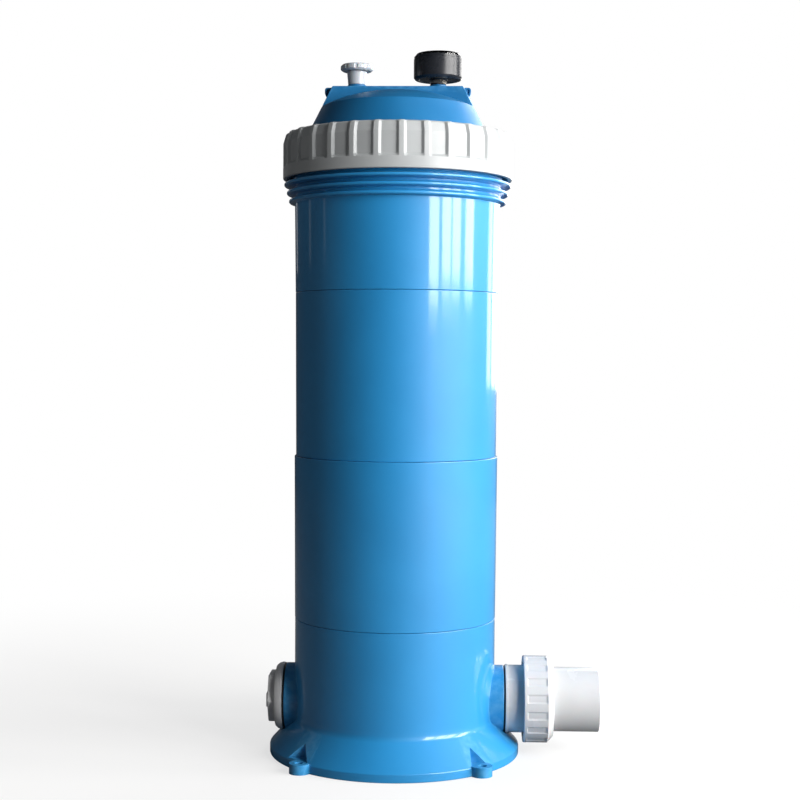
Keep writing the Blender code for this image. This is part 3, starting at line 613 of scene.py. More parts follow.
def sinkBetweenRibs(piece, ribs, axis=upright):
    # every vertex of the outer skin that isn't on a rib moves in towards the axis
    centre, along, side = (Vector(axis[key]) for key in ("centre", "along", "side"))
    across = along.cross(side)
    pitch = 360 / ribs["count"]

    def between(vertex):
        away = vertex.co / mm - centre
        height = away.dot(along)
        radius = (away - along * height).length
        turn = math.degrees(math.atan2(away.dot(across), away.dot(side)))
        offset = abs((turn + pitch / 2) % pitch - pitch / 2)
        return ribs["low"] < height < ribs["high"] and radius > ribs["skin"] and offset > ribs["half"]

    pickPart(piece, between)
    thin = ribs["sink"]
    scale = [1 if abs(value) > 0.5 else thin for value in along]
    bpy.ops.transform.resize(value=scale, center_override=centre * mm)
    bpy.ops.object.mode_set(mode="OBJECT")


def finishPiece(piece, finish, body, slot, *nodes, smooth=35):
    pickOnly(piece)
    bpy.ops.object.shade_smooth_by_angle(angle=math.radians(smooth))
    runModifier(piece, "WEIGHTED_NORMAL", keep_sharp=True)
    piece.data.materials.clear()
    piece.data.materials.append(finishes[finish])
    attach(piece, body)
    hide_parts(*nodes)
    return piece


def cornersOf(node):
    low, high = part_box(node)
    return low / mm, high / mm


# Ports: one axis each for right, rear and drain

portHigh = (cornersOf("union_tail_right")[0].z + cornersOf("union_tail_right")[1].z) / 2
rightPort = {"centre": (0, 0, portHigh), "along": (1, 0, 0), "side": (0, 0, -1)}
rearPort = {"centre": (0, 0, portHigh), "along": (0, 1, 0), "side": (1, 0, 0)}
drainPort = {"centre": (0, 0, portHigh), "along": (-1, 0, 0), "side": (0, 0, 1)}


# Tank

tankLook = {
    "steps": 192,
    "bore": 95.5,             # radius inside
    "rebate": 97.8,
    "spigot": 97.5,
    "spigotDeep": 8.15,
    "draft": 1.0,             # a section widens this much on its way up
    "edge": 0.7,
}
baseLook = {
    "wall": 100.0,
    "footRim": 8.0,
    "flareTop": 34.5,
    "floorUnder": 20.5,
    "floorTop": 25.0,
    "bossRadius": 33.0,
    "bossBore": 24.6,
    "bossReach": 109.0,
    "drainReach": 108.7,
    "spotRadius": 34.8,
    "hub": 15.0,
    "underRibs": 8,
    "lugAngle": 47.2,
    "lugCentre": 127.0,
    "lugRadius": 10.0,
    "lugHigh": 9.6,
    "pocket": {"apex": 110.0, "knee": 128.5, "end": 140.0, "half": 13.5},
    "leaning": {"apex": 10.8, "knee": 4.0, "side": 12.96},      # the two pockets beside the drain
    "boltHole": 4.2,
}
neckLook = {
    "ridges": ((547.8, 107.8), (556.0, 110.0), (564.2, 112.6)),
    "neck": 103.9,
    "neckBore": 96.5,
    "thread": {"root": 102.9, "crest": 106.6, "start": 575.0, "half": 2.8, "tip": 1.2, "pitch": 10.0,
               "turns": 1.5, "steps": 96},
}


def tankSection(node):
    low, high = cornersOf(node)
    look = tankLook
    foot = low.z + look["spigotDeep"]
    piece = spinOutline(node + "_shell", [
        (high.x - look["draft"], foot, look["edge"]), (high.x, high.z, look["edge"]),
        (look["rebate"], high.z),
        (look["rebate"], high.z - look["spigotDeep"]), (look["bore"], high.z - look["spigotDeep"]),
        (look["bore"], low.z), (look["spigot"], low.z, look["edge"]), (look["spigot"], foot),
    ], look["steps"])
    finishPiece(piece, "tank", "tank", "tank_blue", node)


def tankNeck(node):
    low, high = cornersOf(node)
    look = tankLook
    foot = low.z + look["spigotDeep"]
    outline = [(100.8, foot, look["edge"])]
    for height, tip in neckLook["ridges"]:
        outline += [(101.9, height - 2.6, 0.9), (tip - 0.1, height - 1.7, 1.3), (tip, height + 1.0, 1.5),
                    (102.1, height + 2.9, 0.9)]
    outline += [
        (neckLook["neck"], 569.0, 0.6), (neckLook["neck"], high.z, 1.0),
        (neckLook["neckBore"], high.z, 0.5),
        (neckLook["neckBore"], 576.0), (look["bore"], 573.0), (look["bore"], low.z),
        (look["spigot"], low.z, look["edge"]), (look["spigot"], foot),
    ]
    piece = spinOutline(node + "_shell", outline, look["steps"])
    addThread(piece, neckLook["thread"])
    finishPiece(piece, "tank", "tank", "tank_blue", node)


def lugTool(look, turn):
    tip = addRod("lugTip", look["lugRadius"], 0, look["lugHigh"],
        {**upright, "centre": (look["lugCentre"], 0, 0)}, 40)
    web = addBlock("lugWeb", (112, -look["lugRadius"], 0),
        (look["lugCentre"], look["lugRadius"], look["lugHigh"]))
    return turnedCopyAndDrop(combineWith(tip, "UNION", web), turn)


def turnedCopyAndDrop(piece, turn):
    twin = turnedCopy(piece, turn)
    bpy.data.objects.remove(piece, do_unlink=True)
    return twin


def lugPocket(look, turn, lean):
    # a V open to the outside, with its floor level with the lug's top
    deselectAll()
    bpy.ops.mesh.primitive_plane_add(size=0.01)
    pocket = bpy.context.object
    bpy.ops.object.mode_set(mode="EDIT")
    bpy.ops.mesh.select_all(action="SELECT")
    bpy.ops.mesh.merge(type="CENTER")
    shape, more = look["pocket"], look["leaning"]
    sides = [side * (shape["half"] + more["side"] * (side == lean)) for side in (-1, 1)]
    knees = [shape["knee"] - more["knee"] * (side == lean) for side in (-1, 1)]
    corners = [Vector((out, across, look["lugHigh"])) * mm for out, across in (
        (shape["apex"], lean * more["apex"]), (knees[0], sides[0]), (shape["end"], sides[0]),
        (shape["end"], sides[1]), (knees[1], sides[1]))]
    bpy.ops.transform.translate(value=corners[0])
    for here, there in zip(corners, corners[1:]):
        bpy.ops.mesh.extrude_region_move(TRANSFORM_OT_translate={"value": there - here})
    bpy.ops.mesh.select_all(action="SELECT")
    bpy.ops.mesh.edge_face_add()
    bpy.ops.mesh.extrude_region_move(TRANSFORM_OT_translate={"value": (0, 0, 40 * mm)})
    bpy.ops.mesh.select_all(action="SELECT")
    bpy.ops.mesh.normals_make_consistent(inside=False)
    bpy.ops.object.mode_set(mode="OBJECT")
    return turnedCopyAndDrop(pocket, turn)


def tankBase(node):
    low, high = cornersOf(node)
    look = baseLook
    foot = 124.5
    rings = [(look["wall"], height) for height in range(42, 132, 6)]
    outline = [
        (0, look["floorUnder"]), (96, look["floorUnder"], 1.5), (103, 2.0), (104, 0, 0.5), (foot, 0, 0.9),
        (foot, look["footRim"], 1.6), (look["wall"], look["flareTop"], 8.0), *rings,
        (look["wall"], high.z, tankLook["edge"]), (tankLook["rebate"], high.z),
        (tankLook["rebate"], high.z - tankLook["spigotDeep"]),
        (tankLook["bore"], high.z - tankLook["spigotDeep"]),
        (tankLook["bore"], look["floorTop"] + 4, 2.5), (91, look["floorTop"], 2.5), (0, look["floorTop"]),
    ]
    base = spinOutline("tank_base_shell", outline, tankLook["steps"])
    bosses, bores, spots = [], [], []
    wide = look["bossRadius"]
    reaches = (look["bossReach"], look["bossReach"], look["drainReach"])
    for axis, reach in zip((rightPort, rearPort, drainPort), reaches):
        outline = [(0, 91), (wide, 91), (wide, reach, 0.8), (0, reach)]
        bosses.append(spinOutline("boss", outline, 96, axis))
        bores.append(addRod("bore", look["bossBore"], 80, reach + 5, axis, 72))
        spots.append(addRod("spot", look["spotRadius"], reach + 0.05, reach + 20, axis, 96))
    combineWith(base, "UNION", *bosses)
    combineWith(base, "DIFFERENCE", *bores, *spots)
    combineWith(base, "UNION", addRod("hub", look["hub"], 0, look["floorUnder"] + 1))
    for k in range(look["underRibs"] // 2):
        rib = addBlock("underRib", (-99, -2, 3.0), (99, 2, look["floorUnder"] + 1.5))
        combineWith(base, "UNION", turnedCopyAndDrop(rib, 360 * (k + 0.5) / look["underRibs"]))
    turns = (look["lugAngle"], 180 - look["lugAngle"], 180 + look["lugAngle"], 360 - look["lugAngle"])
    combineWith(base, "UNION", joinAll([lugTool(look, turn) for turn in turns]))
    pockets = [lugPocket(look, turn, lean) for turn, lean in zip(turns, (0, 1, -1, 0))]
    combineWith(base, "DIFFERENCE", joinAll(pockets))
    holeAxis = {**upright, "centre": (look["lugCentre"] + 1, 0, 0)}
    holes = [turnedCopyAndDrop(addRod("hole", look["boltHole"], -5, 20, holeAxis), turn) for turn in turns]
    combineWith(base, "DIFFERENCE", joinAll(holes))
    softenEdges(base, 0.5)
    finishPiece(base, "tank", "tank", "tank_blue", node)


tankBase("tank_base")
tankSection("tank_lower")
tankSection("tank_middle")
tankNeck("tank_upper")
print("tank is done")


# Lock ring and slip washer

ringLook = {
    "crest": 113.75,
    "shoulder": 603.6,
    "topCrest": 111.2,
    "opening": 90.3,
    "openingLow": 94.4,
    "ceiling": 606.0,
    "bore": 109.4,
    "ribs": {"count": 30, "half": 1.8, "low": 581.0, "high": 620.0, "skin": 104.0, "sink": 0.980},
    "ribTurn": 9.7,           # degrees, where the first rib stands from +X
    "thread": {"root": 110.4, "crest": 107.0, "start": 578.0, "half": 2.8, "tip": 1.2, "pitch": 10.0,
               "turns": 1.5, "steps": 96, "phase": -72},
}


def lockRing(node):
    low, high = cornersOf(node)
    look = ringLook
    turn = math.radians(look["ribTurn"])
    axis = {**upright, "side": (math.cos(turn), math.sin(turn), 0)}
    outline = [
        (look["bore"], low.z, 0.8), (look["crest"], low.z, 1.2), (look["crest"], 579.8),
        (look["crest"], 580.4),
        (look["crest"], 582.6), (look["crest"], 583.2), (look["crest"], 591.0),
        (look["crest"], look["shoulder"], 5.0), (look["topCrest"], high.z - 1.5, 1.4),
        (look["topCrest"] - 2.0, high.z, 0.8), (look["opening"], high.z, 0.8),
        (look["openingLow"], look["ceiling"]),
        (look["bore"], look["ceiling"], 0.6),
    ]
    ring = spinOutline("lock_ring_shell", outline, 10 * look["ribs"]["count"], axis)
    sinkBetweenRibs(ring, look["ribs"], axis)
    softenEdges(ring, 0.35)
    addThread(ring, look["thread"])
    finishPiece(ring, "ring", "lock_ring", "ring_grey", node)


def slipWasher(node):
    low, high = cornersOf(node)
    washer = spinOutline("slip_washer", [
        (96.8, low.z, 0.6), (103.4, low.z, 0.6), (103.4, high.z, 0.6), (96.8, high.z, 0.6),
    ], 160)
    finishPiece(washer, "washer", "slip_washer", "washer_white", node)


lockRing("lock_ring")
slipWasher("thrust_washer")
print("lock ring is done")


# Lid

lidLook = {
    "spigot": 96.1,
    "groove": 93.0,
    "flangeLow": 594.3,
    "flangeTop": 602.0,
    "flange": 103.6,
    "lean": 0.502,            # the skirt leans in this much for each millimetre up
    "skirtAt": (82.05, 628.8),
    "shoulder": 640.4,
    "crown": 657.8,
    "domeRim": (74.5, 641.4),
    "barHalf": 18.0,
    "barLow": 638.6,
    "barTop": 660.5,
    "tab": (60.0, 72.2, 11.0, 649.6),
    "ventX": -41.0,
    "gaugeX": 39.6,
    "bossTop": 664.0,
}


def skirtAt(height):
    return lidLook["skirtAt"][0] - lidLook["lean"] * (height - lidLook["skirtAt"][1])


def domePoints(rim, top, count=12):
    reach, foot = rim
    rise = top - foot
    radius = (reach ** 2 + rise ** 2) / (2 * rise)
    points = []
    for k in range(1, count):
        out = reach * (1 - k / count)
        points.append((out, top - radius + math.sqrt(radius ** 2 - out ** 2)))
    return points


def liftTab(look, side):
    start, end, half, foot = look["tab"]
    tab = addBlock("tab", (start, -half, foot), (end, half, look["barTop"] - 0.5))

    def outerEdge(edge):
        ends = [tab.data.vertices[number].co / mm for number in edge.vertices]
        return all(place.x > end - 0.1 for place in ends) and abs(ends[0].y - ends[1].y) > half

    def heightOf(edge):
        return tab.data.vertices[edge.vertices[0]].co.z / mm

    pickPart(tab, lambda edge: outerEdge(edge) and heightOf(edge) < foot + 1, "edges")
    bpy.ops.mesh.bevel(offset=5.5 * mm, segments=7)
    pickPart(tab, lambda edge: outerEdge(edge) and heightOf(edge) > look["barTop"] - 1, "edges")
    bpy.ops.mesh.bevel(offset=2.5 * mm, segments=4)
    bpy.ops.object.mode_set(mode="OBJECT")
    softenEdges(tab, 0.5)
    if side < 0:
        return turnedCopyAndDrop(tab, 180)
    return tab


def tabRecess(look, side):
    start, end, half, foot = look["tab"]
    x = side * (end - 2.9)
    axis = {"centre": (x, 0, 0), "along": (0, 1, 0), "side": (1, 0, 0)}
    recess = spinOutline("recess", [(0, -half - 1), (1.5, -half - 1), (1.5, -half + 1.4, 0.8),
        (0, -half + 1.4)], 32, axis)
    pickOnly(recess)
    recess.scale = (1, 1, 2.0)
    recess.location = (0, 0, 655.6 * mm)
    bpy.ops.object.transform_apply(location=True, rotation=True, scale=True)
    return recess


def lidShell(node):
    low, high = cornersOf(node)
    look = lidLook
    outline = [
        (0, low.z), (look["spigot"], low.z, 0.8), (look["spigot"], 585.2, 0.3), (look["groove"], 585.2),
        (look["groove"], 589.4), (look["spigot"], 589.4, 0.3), (look["spigot"], look["flangeLow"]),
        (look["flange"], look["flangeLow"], 0.6), (look["flange"], look["flangeTop"], 0.8),
        (skirtAt(look["flangeTop"]), look["flangeTop"], 1.5),
        (skirtAt(look["shoulder"]), look["shoulder"], 1.8),
        *domePoints(look["domeRim"], look["crown"]), (0, look["crown"]),
    ]
    lid = spinOutline("lid_shell", outline, 192)
    top = look["barTop"]
    bar = spinOutline("bar", [
        (0, look["barLow"]), (skirtAt(look["barLow"]) - 1.2, look["barLow"]), (skirtAt(642.5), 642.5),
        (skirtAt(top - 1) - 0.3, top, 0.9), (0, top),
    ], 192)
    combineWith(bar, "INTERSECT", addBlock("slab", (-95, -look["barHalf"], 630),
        (95, look["barHalf"], 680)))
    pickPart(bar, lambda face: True, "polygons")
    bpy.ops.mesh.dissolve_limited(angle_limit=math.radians(0.3))
    pickPart(bar, lambda edge: all(
        abs(abs(bar.data.vertices[number].co.y / mm) - look["barHalf"]) < 0.01 and
        bar.data.vertices[number].co.z / mm > top - 0.01 for number in edge.vertices
    ), "edges")
    bpy.ops.mesh.bevel(offset=1.0 * mm, segments=3)
    bpy.ops.object.mode_set(mode="OBJECT")
    combineWith(lid, "UNION", bar, liftTab(look, 1), liftTab(look, -1))
    seats = []
    for middle, radius, bore in ((look["ventX"], 9.4, 6.3), (look["gaugeX"], 8.4, 5.8)):
        axis = {**upright, "centre": (middle, 0, 0)}
        combineWith(lid, "UNION", spinOutline("boss", [
            (0, 658), (radius + 1.6, 658), (radius + 1.6, top), (radius, top + 1.4, 1.2),
            (radius, look["bossTop"], 0.7), (0, look["bossTop"]),
        ], 64, axis))
        seats.append(spinOutline("seat", [
            (0, 630), (2.6, 630), (2.6, 652.5), (bore, 652.5), (bore, 670), (0, 670),
        ], 48, {**axis, "side": (math.cos(0.03), math.sin(0.03), 0)}))
    cavity = spinOutline("cavity", [
        (0, 575), (90.6, 575), (90.6, look["flangeTop"] - 2, 2.0), (skirtAt(634.0) - 4.5, 634.0, 5.0),
        *[(out, height - 4.8) for out, height in domePoints(look["domeRim"], look["crown"])],
        (0, look["crown"] - 5),
    ], 160)
    combineWith(lid, "DIFFERENCE", cavity, *seats)
    combineWith(lid, "DIFFERENCE", tabRecess(look, 1), tabRecess(look, -1))
    finishPiece(lid, "lid", "lid", "lid_blue", node)


def oRing(node, middle, section, height, body, slot, axis=upright, name=None):
    points = [(middle + section * math.cos(2 * math.pi * k / 14),
        height + section * math.sin(2 * math.pi * k / 14))
              for k in range(14)]
    ring = spinOutline(name or node + "_seal", points, 144, axis)
    finishPiece(ring, "rubber", body, slot, node)
    return ring


lidShell("lid")
oRing("lid_oring", 94.75, 1.4, 587.3, "lid", "seal_black")
print("lid is done")


# Air-relief valve

ventLook = {
    "bodyRadius": (8.8, 10.0),
    "bodyTop": 677.2,
    "knobLow": 677.6,
    "knob": 16.3,
    "grips": 10,
}


def ventValve():
    look = ventLook
    axis = {**upright, "centre": (lidLook["ventX"], 0, 0)}
    seat = lidLook["bossTop"] + 0.3
    wide = look["bodyRadius"]
    body = spinOutline("vent_body_shell", [
        (0, 653.5), (6.0, 653.5, 0.4), (6.0, seat), (wide[0], seat, 0.6), (wide[0] + 0.2, seat + 2.2),
        (wide[1], look["bodyTop"], 0.6), (4.4, look["bodyTop"], 0.4), (4.4, 659.5), (0, 659.5),
    ], 96, axis)
    sideWay = {"centre": (lidLook["ventX"], 0, 669), "along": (-1, 0, 0), "side": (0, 0, 1)}
    combineWith(body, "DIFFERENCE", addRod("seatWay", 1.6, 650, 662, axis, 24),
        addRod("sideWay", 1.6, 0, 20, sideWay, 24))
    finishPiece(body, "vent", "lid", "vent_white", "vent_body")
    low, top, wide = look["knobLow"], cornersOf("vent_knob")[1].z, look["knob"]
    knob = spinOutline("vent_knob_disc", [
        (0, 660.6), (1.9, 660.6), (1.9, 664.2), (3.9, 665.0), (3.9, low, 0.5), (wide - 2.2, low, 0.8),
        (wide, low + 1.6, 1.2), (wide, top - 1.8, 1.2), (wide - 1.8, top, 1.0), (wide - 5.8, top, 1.0),
        (wide - 7.3, top - 1.6, 0.8), (0, top - 1.6),
    ], 160, axis)
    notches = []
    for k in range(look["grips"]):
        turn = 2 * math.pi * (k + 0.5) / look["grips"]
        reach = wide + 2.3
        centre = (axis["centre"][0] + reach * math.cos(turn), reach * math.sin(turn), 0)
        notches.append(addRod("notch", 3.1, 674, 690, {**upright, "centre": centre}, 32))
    combineWith(knob, "DIFFERENCE", joinAll(notches))
    softenEdges(knob, 0.5, 3)
    finishPiece(knob, "vent", "vent_knob", "vent_white", "vent_knob")
    oRing("vent_oring", 2.95, 0.85, 662.2, "vent_seal", "seal_black", axis)


ventValve()
print("vent is done")


# Pressure gauge

gaugeLook = {
    "low": 669.0,
    "radius": 24.2,
    "caseTop": 691.8,
    "window": 22.7,
    "dial": 21.2,
    "dialTop": 687.3,
    "zero": 225,              # degrees from +X where the scale starts
    "sweep": 270,
    "steps": 30,              # small divisions
    "top": 60,
}


def gaugeAxis():
    return {**upright, "centre": (lidLook["gaugeX"], 0, 0)}


def gaugeStem():
    axis, low = gaugeAxis(), gaugeLook["low"]
    seat = lidLook["bossTop"]
    stem = spinOutline("gauge_stem_turned", [
        (0, 653.4), (5.4, 653.4, 0.6), (5.4, seat + 2.5), (5.2, seat + 2.5), (5.2, low + 3), (0, low + 3)],
        64, axis)
    hexagon = spinOutline("hexagon", [(0, seat + 1.5), (8.2, seat + 1.5), (8.2, low - 0.6),
        (0, low - 0.6)], 6, axis)
    chamfer = spinOutline("chamfer", [
        (0, seat + 1.5), (7.3, seat + 1.5), (8.3, seat + 2.2), (8.3, low - 1.3), (7.3, low - 0.6),
        (0, low - 0.6)], 64, axis)
    combineWith(hexagon, "INTERSECT", chamfer)
    socket = addBlock("socket", (-5, -18.4, low + 2.4), (5, -1.5, low + 8.0))
    socket.location.x = lidLook["gaugeX"] * mm
    pickOnly(socket)
    bpy.ops.object.transform_apply(location=True)
    softenEdges(socket, 0.5)
    combineWith(stem, "UNION", hexagon, socket)
    combineWith(stem, "DIFFERENCE", addRod("way", 1.5, 650, low + 5, axis, 24))
    finishPiece(stem, "stem", "lid", "gauge_brass", "gauge_stem")
    gasket = spinOutline("gauge_gasket_ring", [
        (5.8, seat + 0.2, 0.3), (7.8, seat + 0.2, 0.3), (7.8, seat + 1.3, 0.3), (5.8, seat + 1.3, 0.3)],
        96, axis)
    finishPiece(gasket, "rubber", "lid", "seal_black", "gauge_gasket")


def gaugeCase():
    axis, low, wide, top = gaugeAxis(), gaugeLook["low"], gaugeLook["radius"], gaugeLook["caseTop"]
    case = spinOutline("gauge_case_shell", [
        (5.6, low, 0.3), (9.0, low), (9.6, low + 0.5), (18.6, low + 0.5), (19.2, low),
        (wide - 1.6, low, 1.4),
        (wide, low + 2.2, 1.2), (wide, top - 2.6), (wide - 0.35, top - 2.3), (wide - 0.35, top, 0.6),
        (23, top),
        (23, 687.6), (21.6, 687.6), (21.6, low + 2.1), (5.6, low + 2.1),
    ], 144, axis)
    finishPiece(case, "gauge", "lid", "gauge_black", "gauge_case")
    rim = gaugeLook["window"]
    window = spinOutline("gauge_window", [
        (0, 693.0), (19.5, 693.0), (21.2, 692.0), (21.2, 688.1), (rim, 688.1, 0.3), (rim, 692.8, 0.8),
        (rim - 1.4, 694.6, 0.9), (0, 694.6),
    ], 144, axis)
    finishPiece(window, "clear", "lid", "gauge_clear", "gauge_lens")


def dialMark(turn, start, end, half, height):
    mark = addBlock("mark", (start, -half, height), (end, half, height + 0.06))
    mark = turnedCopyAndDrop(mark, turn)
    mark.location.x = lidLook["gaugeX"] * mm
    return mark


def gaugeDial():
    look, axis = gaugeLook, gaugeAxis()
    top = look["dialTop"]
    dial = spinOutline("gauge_dial_face", [
        (1.6, top - 0.7), (look["dial"], top - 0.7), (look["dial"], top, 0.15), (1.6, top)], 128, axis)
    marks = []
    for k in range(look["steps"] + 1):
        turn = look["zero"] - look["sweep"] * k / look["steps"]
        long = k % 5 == 0
        marks.append(dialMark(turn, 15.0 if long else 16.6, 18.4, 0.28 if long else 0.14, top))
    arc = spinOutline("arc", [(18.4, top), (18.8, top), (18.8, top + 0.06), (18.4, top + 0.06)], 128, axis)
    marks.append(arc)
    for k in range(0, look["steps"] + 1, 5):
        turn = math.radians(look["zero"] - look["sweep"] * k / look["steps"])
        deselectAll()
        bpy.ops.object.text_add()
        number = bpy.context.object
        number.data.body = str(look["top"] * k // look["steps"])
        number.data.size = 4.0 * mm
        number.data.align_x = "CENTER"
        number.data.align_y = "CENTER"
        number.data.extrude = 0.03 * mm
        bpy.ops.object.convert(target="MESH")
        number.location = ((lidLook["gaugeX"] + 12.2 * math.cos(turn)) * mm, 12.2 * math.sin(turn) * mm,
            (top + 0.03) * mm)
        marks.append(number)
    for mark in marks:
        mark.data.materials.clear()
        mark.data.materials.append(finishes["ink"])
    printed = joinAll(marks)
    bpy.ops.object.transform_apply(location=True, rotation=True, scale=True)
    printed.name = "gauge_dial_print"
    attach(printed, "lid")
    finishPiece(dial, "dial", "lid", "dial_white", "gauge_dial")


def gaugePointer():
    look, axis = gaugeLook, gaugeAxis()
    low, high = cornersOf("gauge_pointer")
    blade = addBlock("gauge_pointer_blade", (-6.0, -1.3, low.z), (17.5, 1.3, high.z))
    pickPart(blade, lambda vertex: vertex.co.x > 0.017)
    bpy.ops.transform.resize(value=(1, 0.28, 1), center_override=(0, 0, low.z * mm))
    bpy.ops.object.mode_set(mode="OBJECT")
    hub = spinOutline("hub", [(1.2, low.z), (2.6, low.z), (2.6, high.z, 0.3), (1.2, high.z)], 48)
    combineWith(blade, "DIFFERENCE", addRod("eye", 2.0, low.z - 1, high.z + 1))
    combineWith(blade, "UNION", hub)
    softenEdges(blade, 0.12)
    blade = turnedCopyAndDrop(blade, look["zero"])
    blade.name = "gauge_pointer_blade"
    blade.location.x = axis["centre"][0] * mm
    pickOnly(blade)
    bpy.ops.object.transform_apply(location=True)
    finishPiece(blade, "pointer", "gauge_pointer", "pointer_red", "gauge_pointer")


gaugeStem()
gaugeCase()
gaugeDial()
gaugePointer()
for works in ("bourdon_tube", "gauge_movement", "gauge_sector", "gauge_spindle"):
    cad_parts[works].material_slots[0].material = finishes["works"]
print("gauge is done")


# Pipe unions: the right one is made, the rear one is its copy turned a quarter

unionLook = {
    "adaptorThread": {"root": 34.9, "crest": 36.7, "start": 134.0, "half": 1.9, "tip": 0.7, "pitch": 6.0,
                      "turns": 1.75, "steps": 80},
    "nutRibs": {"count": 16, "half": 6.0, "low": 132.2, "high": 151.0, "skin": 41.0, "sink": 42.1 / 42.9},
    "nut": 42.9,
    "nutStart": 128.5,
    "nutEnd": 158.0,
    "tail": 31.7,
    "tailEnd": 203.8,
}


def unionGasket():
    return spinOutline("port_gasket_right_ring", [
        (25.2, 109.3, 0.4), (32.6, 109.3, 0.4), (32.6, 110.4, 0.4), (25.2, 110.4, 0.4)], 128, rightPort)


def unionAdaptor():
    adaptor = spinOutline("port_adaptor_right_body", [
        (20.0, 92.0, 0.6), (24.2, 92.0, 0.8), (24.2, 110.7), (33.9, 110.7, 0.5), (33.9, 113.4, 0.5),
        (33.3, 113.4),
        (33.3, 130.0, 0.6), (35.2, 131.6, 0.4), (35.2, 147.0, 0.8), (29.0, 147.0, 0.3), (29.0, 144.8),
        (25.8, 144.8),
        (25.8, 147.0, 0.3), (20.0, 147.0, 0.5),
    ], 128, rightPort)
    addThread(adaptor, unionLook["adaptorThread"], rightPort)
    return adaptor


def unionNut():
    look = unionLook
    nut = spinOutline("union_nut_right_body", [
        (37.3, look["nutStart"], 0.6), (look["nut"], look["nutStart"], 1.0), (look["nut"], 131.8),
        (look["nut"], 132.4),
        (look["nut"], 140.0), (look["nut"], 149.4), (look["nut"], 150.4), (look["nut"], 152.4, 0.8),
        (36.9, look["nutEnd"], 0.7), (32.3, look["nutEnd"], 0.5), (32.3, 152.6), (37.3, 152.6),
    ], 240, rightPort)
    sinkBetweenRibs(nut, look["nutRibs"], rightPort)
    softenEdges(nut, 0.3)
    return nut


def unionTail():
    look = unionLook
    return spinOutline("union_tail_right_pipe", [
        (21.0, 147.3, 0.4), (34.6, 147.3, 0.6), (34.6, 152.2, 0.6), (look["tail"], 152.2),
        (look["tail"], look["tailEnd"], 1.0), (25.2, look["tailEnd"], 1.2), (25.2, 175.0), (21.0, 175.0),
    ], 128, rightPort)


def bothUnions():
    parts = (
        (unionGasket(), "rubber", "tank", "seal_black", "port_gasket"),
        (unionAdaptor(), "union", "tank", "union_white", "port_adaptor"),
        (unionNut(), "union", "nut", "union_white", "union_nut"),
        (unionTail(), "union", "tail", "union_white", "union_tail"),
    )
    for piece, finish, body, slot, node in parts:
        rear = turnedCopy(piece, 90, name=piece.name.replace("right", "rear"))
        for twin, side in ((piece, "right"), (rear, "rear")):
            finishPiece(twin, finish, body if body == "tank" else f"{body}_{side}", slot, f"{node}_{side}")
    for side, axis in (("right", rightPort), ("rear", rearPort)):
        oRing(f"union_oring_{side}", 27.4, 1.1, 146.05, "tank", "seal_black", axis)


bothUnions()
print("unions are done")


# Drain plug

drainLook = {
    "reach": 108.7,
    "flange": 33.5,
    "head": 27.1,
    "thread": {"root": 22.4, "crest": 23.7, "start": 101.0, "half": 1.3, "tip": 0.4, "pitch": 4.0,
               "turns": 2.5, "steps": 72},
}


def drainPlug():
    look = drainLook
    face = look["reach"] + 2.0
    gasket = spinOutline("drain_gasket_ring", [
        (25.2, look["reach"] + 0.3, 0.5), (33.0, look["reach"] + 0.3, 0.5),
        (33.0, look["reach"] + 1.7, 0.5),
        (25.2, look["reach"] + 1.7, 0.5)], 128, drainPort)
    finishPiece(gasket, "rubber", "drain_seal", "seal_black", "drain_gasket")
    plug = spinOutline("drain_plug_body", [
        (19.0, 98.0, 0.4), (22.7, 98.0, 0.6), (22.7, face), (look["flange"], face, 0.5),
        (look["flange"], face + 2.4),
        (32.4, face + 5.4), (30.3, face + 7.8, 0.7), (0, face + 7.8), (0, face + 1.0), (19.0, face + 1.0),
    ], 128, drainPort)
    addThread(plug, look["thread"], drainPort)
    turn = {**drainPort, "side": (0, math.sin(math.pi / 6), math.cos(math.pi / 6))}
    head = spinOutline("head", [
        (0, face + 7.2), (look["head"], face + 7.2), (look["head"], face + 15.0), (0, face + 15.0)], 6,
        turn)
    softenEdges(head, 1.3, 3, 30)
    bar = addBlock("bar", (-(face + 16.2), -22.0, portHigh - 7.0), (-(face + 14.0), 22.0, portHigh + 7.0))
    softenEdges(bar, 0.9, 3)
    combineWith(plug, "UNION", head, bar)
    finishPiece(plug, "plug", "drain_plug", "plug_grey", "drain_plug")


drainPlug()
print("drain plug is done")


# Inside: outlet elbow and the cartridge

elbowLook = {"outside": 24.4, "bore": 20.5, "flange": 42.0, "flangeLow": 84.5, "branch": 24.0,
    "branchBore": 19.5}


def outletElbow():
    look = elbowLook
    rest = cornersOf("cartridge_bottom_cap")[0].z - 0.3
    elbow = spinOutline("outlet_elbow_body", [
        (0, 27.5), (look["outside"], 27.5, 5.0), (look["outside"], look["flangeLow"], 1.2),
        (look["flange"], look["flangeLow"], 0.6),
        (look["flange"], rest, 0.8), (look["outside"], rest, 0.8), (look["outside"], 108.0, 0.6),
        (22.4, 110.0, 0.4), (0, 110.0),
    ], 96)
    combineWith(elbow, "UNION", addRod("branch", look["branch"], 0, 90, rearPort, 96))
    combineWith(elbow, "DIFFERENCE", addRod("downBore", look["bore"], 34, 115, upright, 96),
                addRod("backBore", look["branchBore"], 0, 95, rearPort, 96))
    softenEdges(elbow, 0.4)
    finishPiece(elbow, "inner", "tank", "inner_white", "outlet_elbow")
    gasket = spinOutline("elbow_gasket_ring", [
        (20.2, 90.2, 0.4), (24.0, 90.2, 0.4), (24.0, 91.7, 0.4), (20.2, 91.7, 0.4)], 96, rearPort)
    finishPiece(gasket, "rubber", "tank", "seal_black", "elbow_gasket")


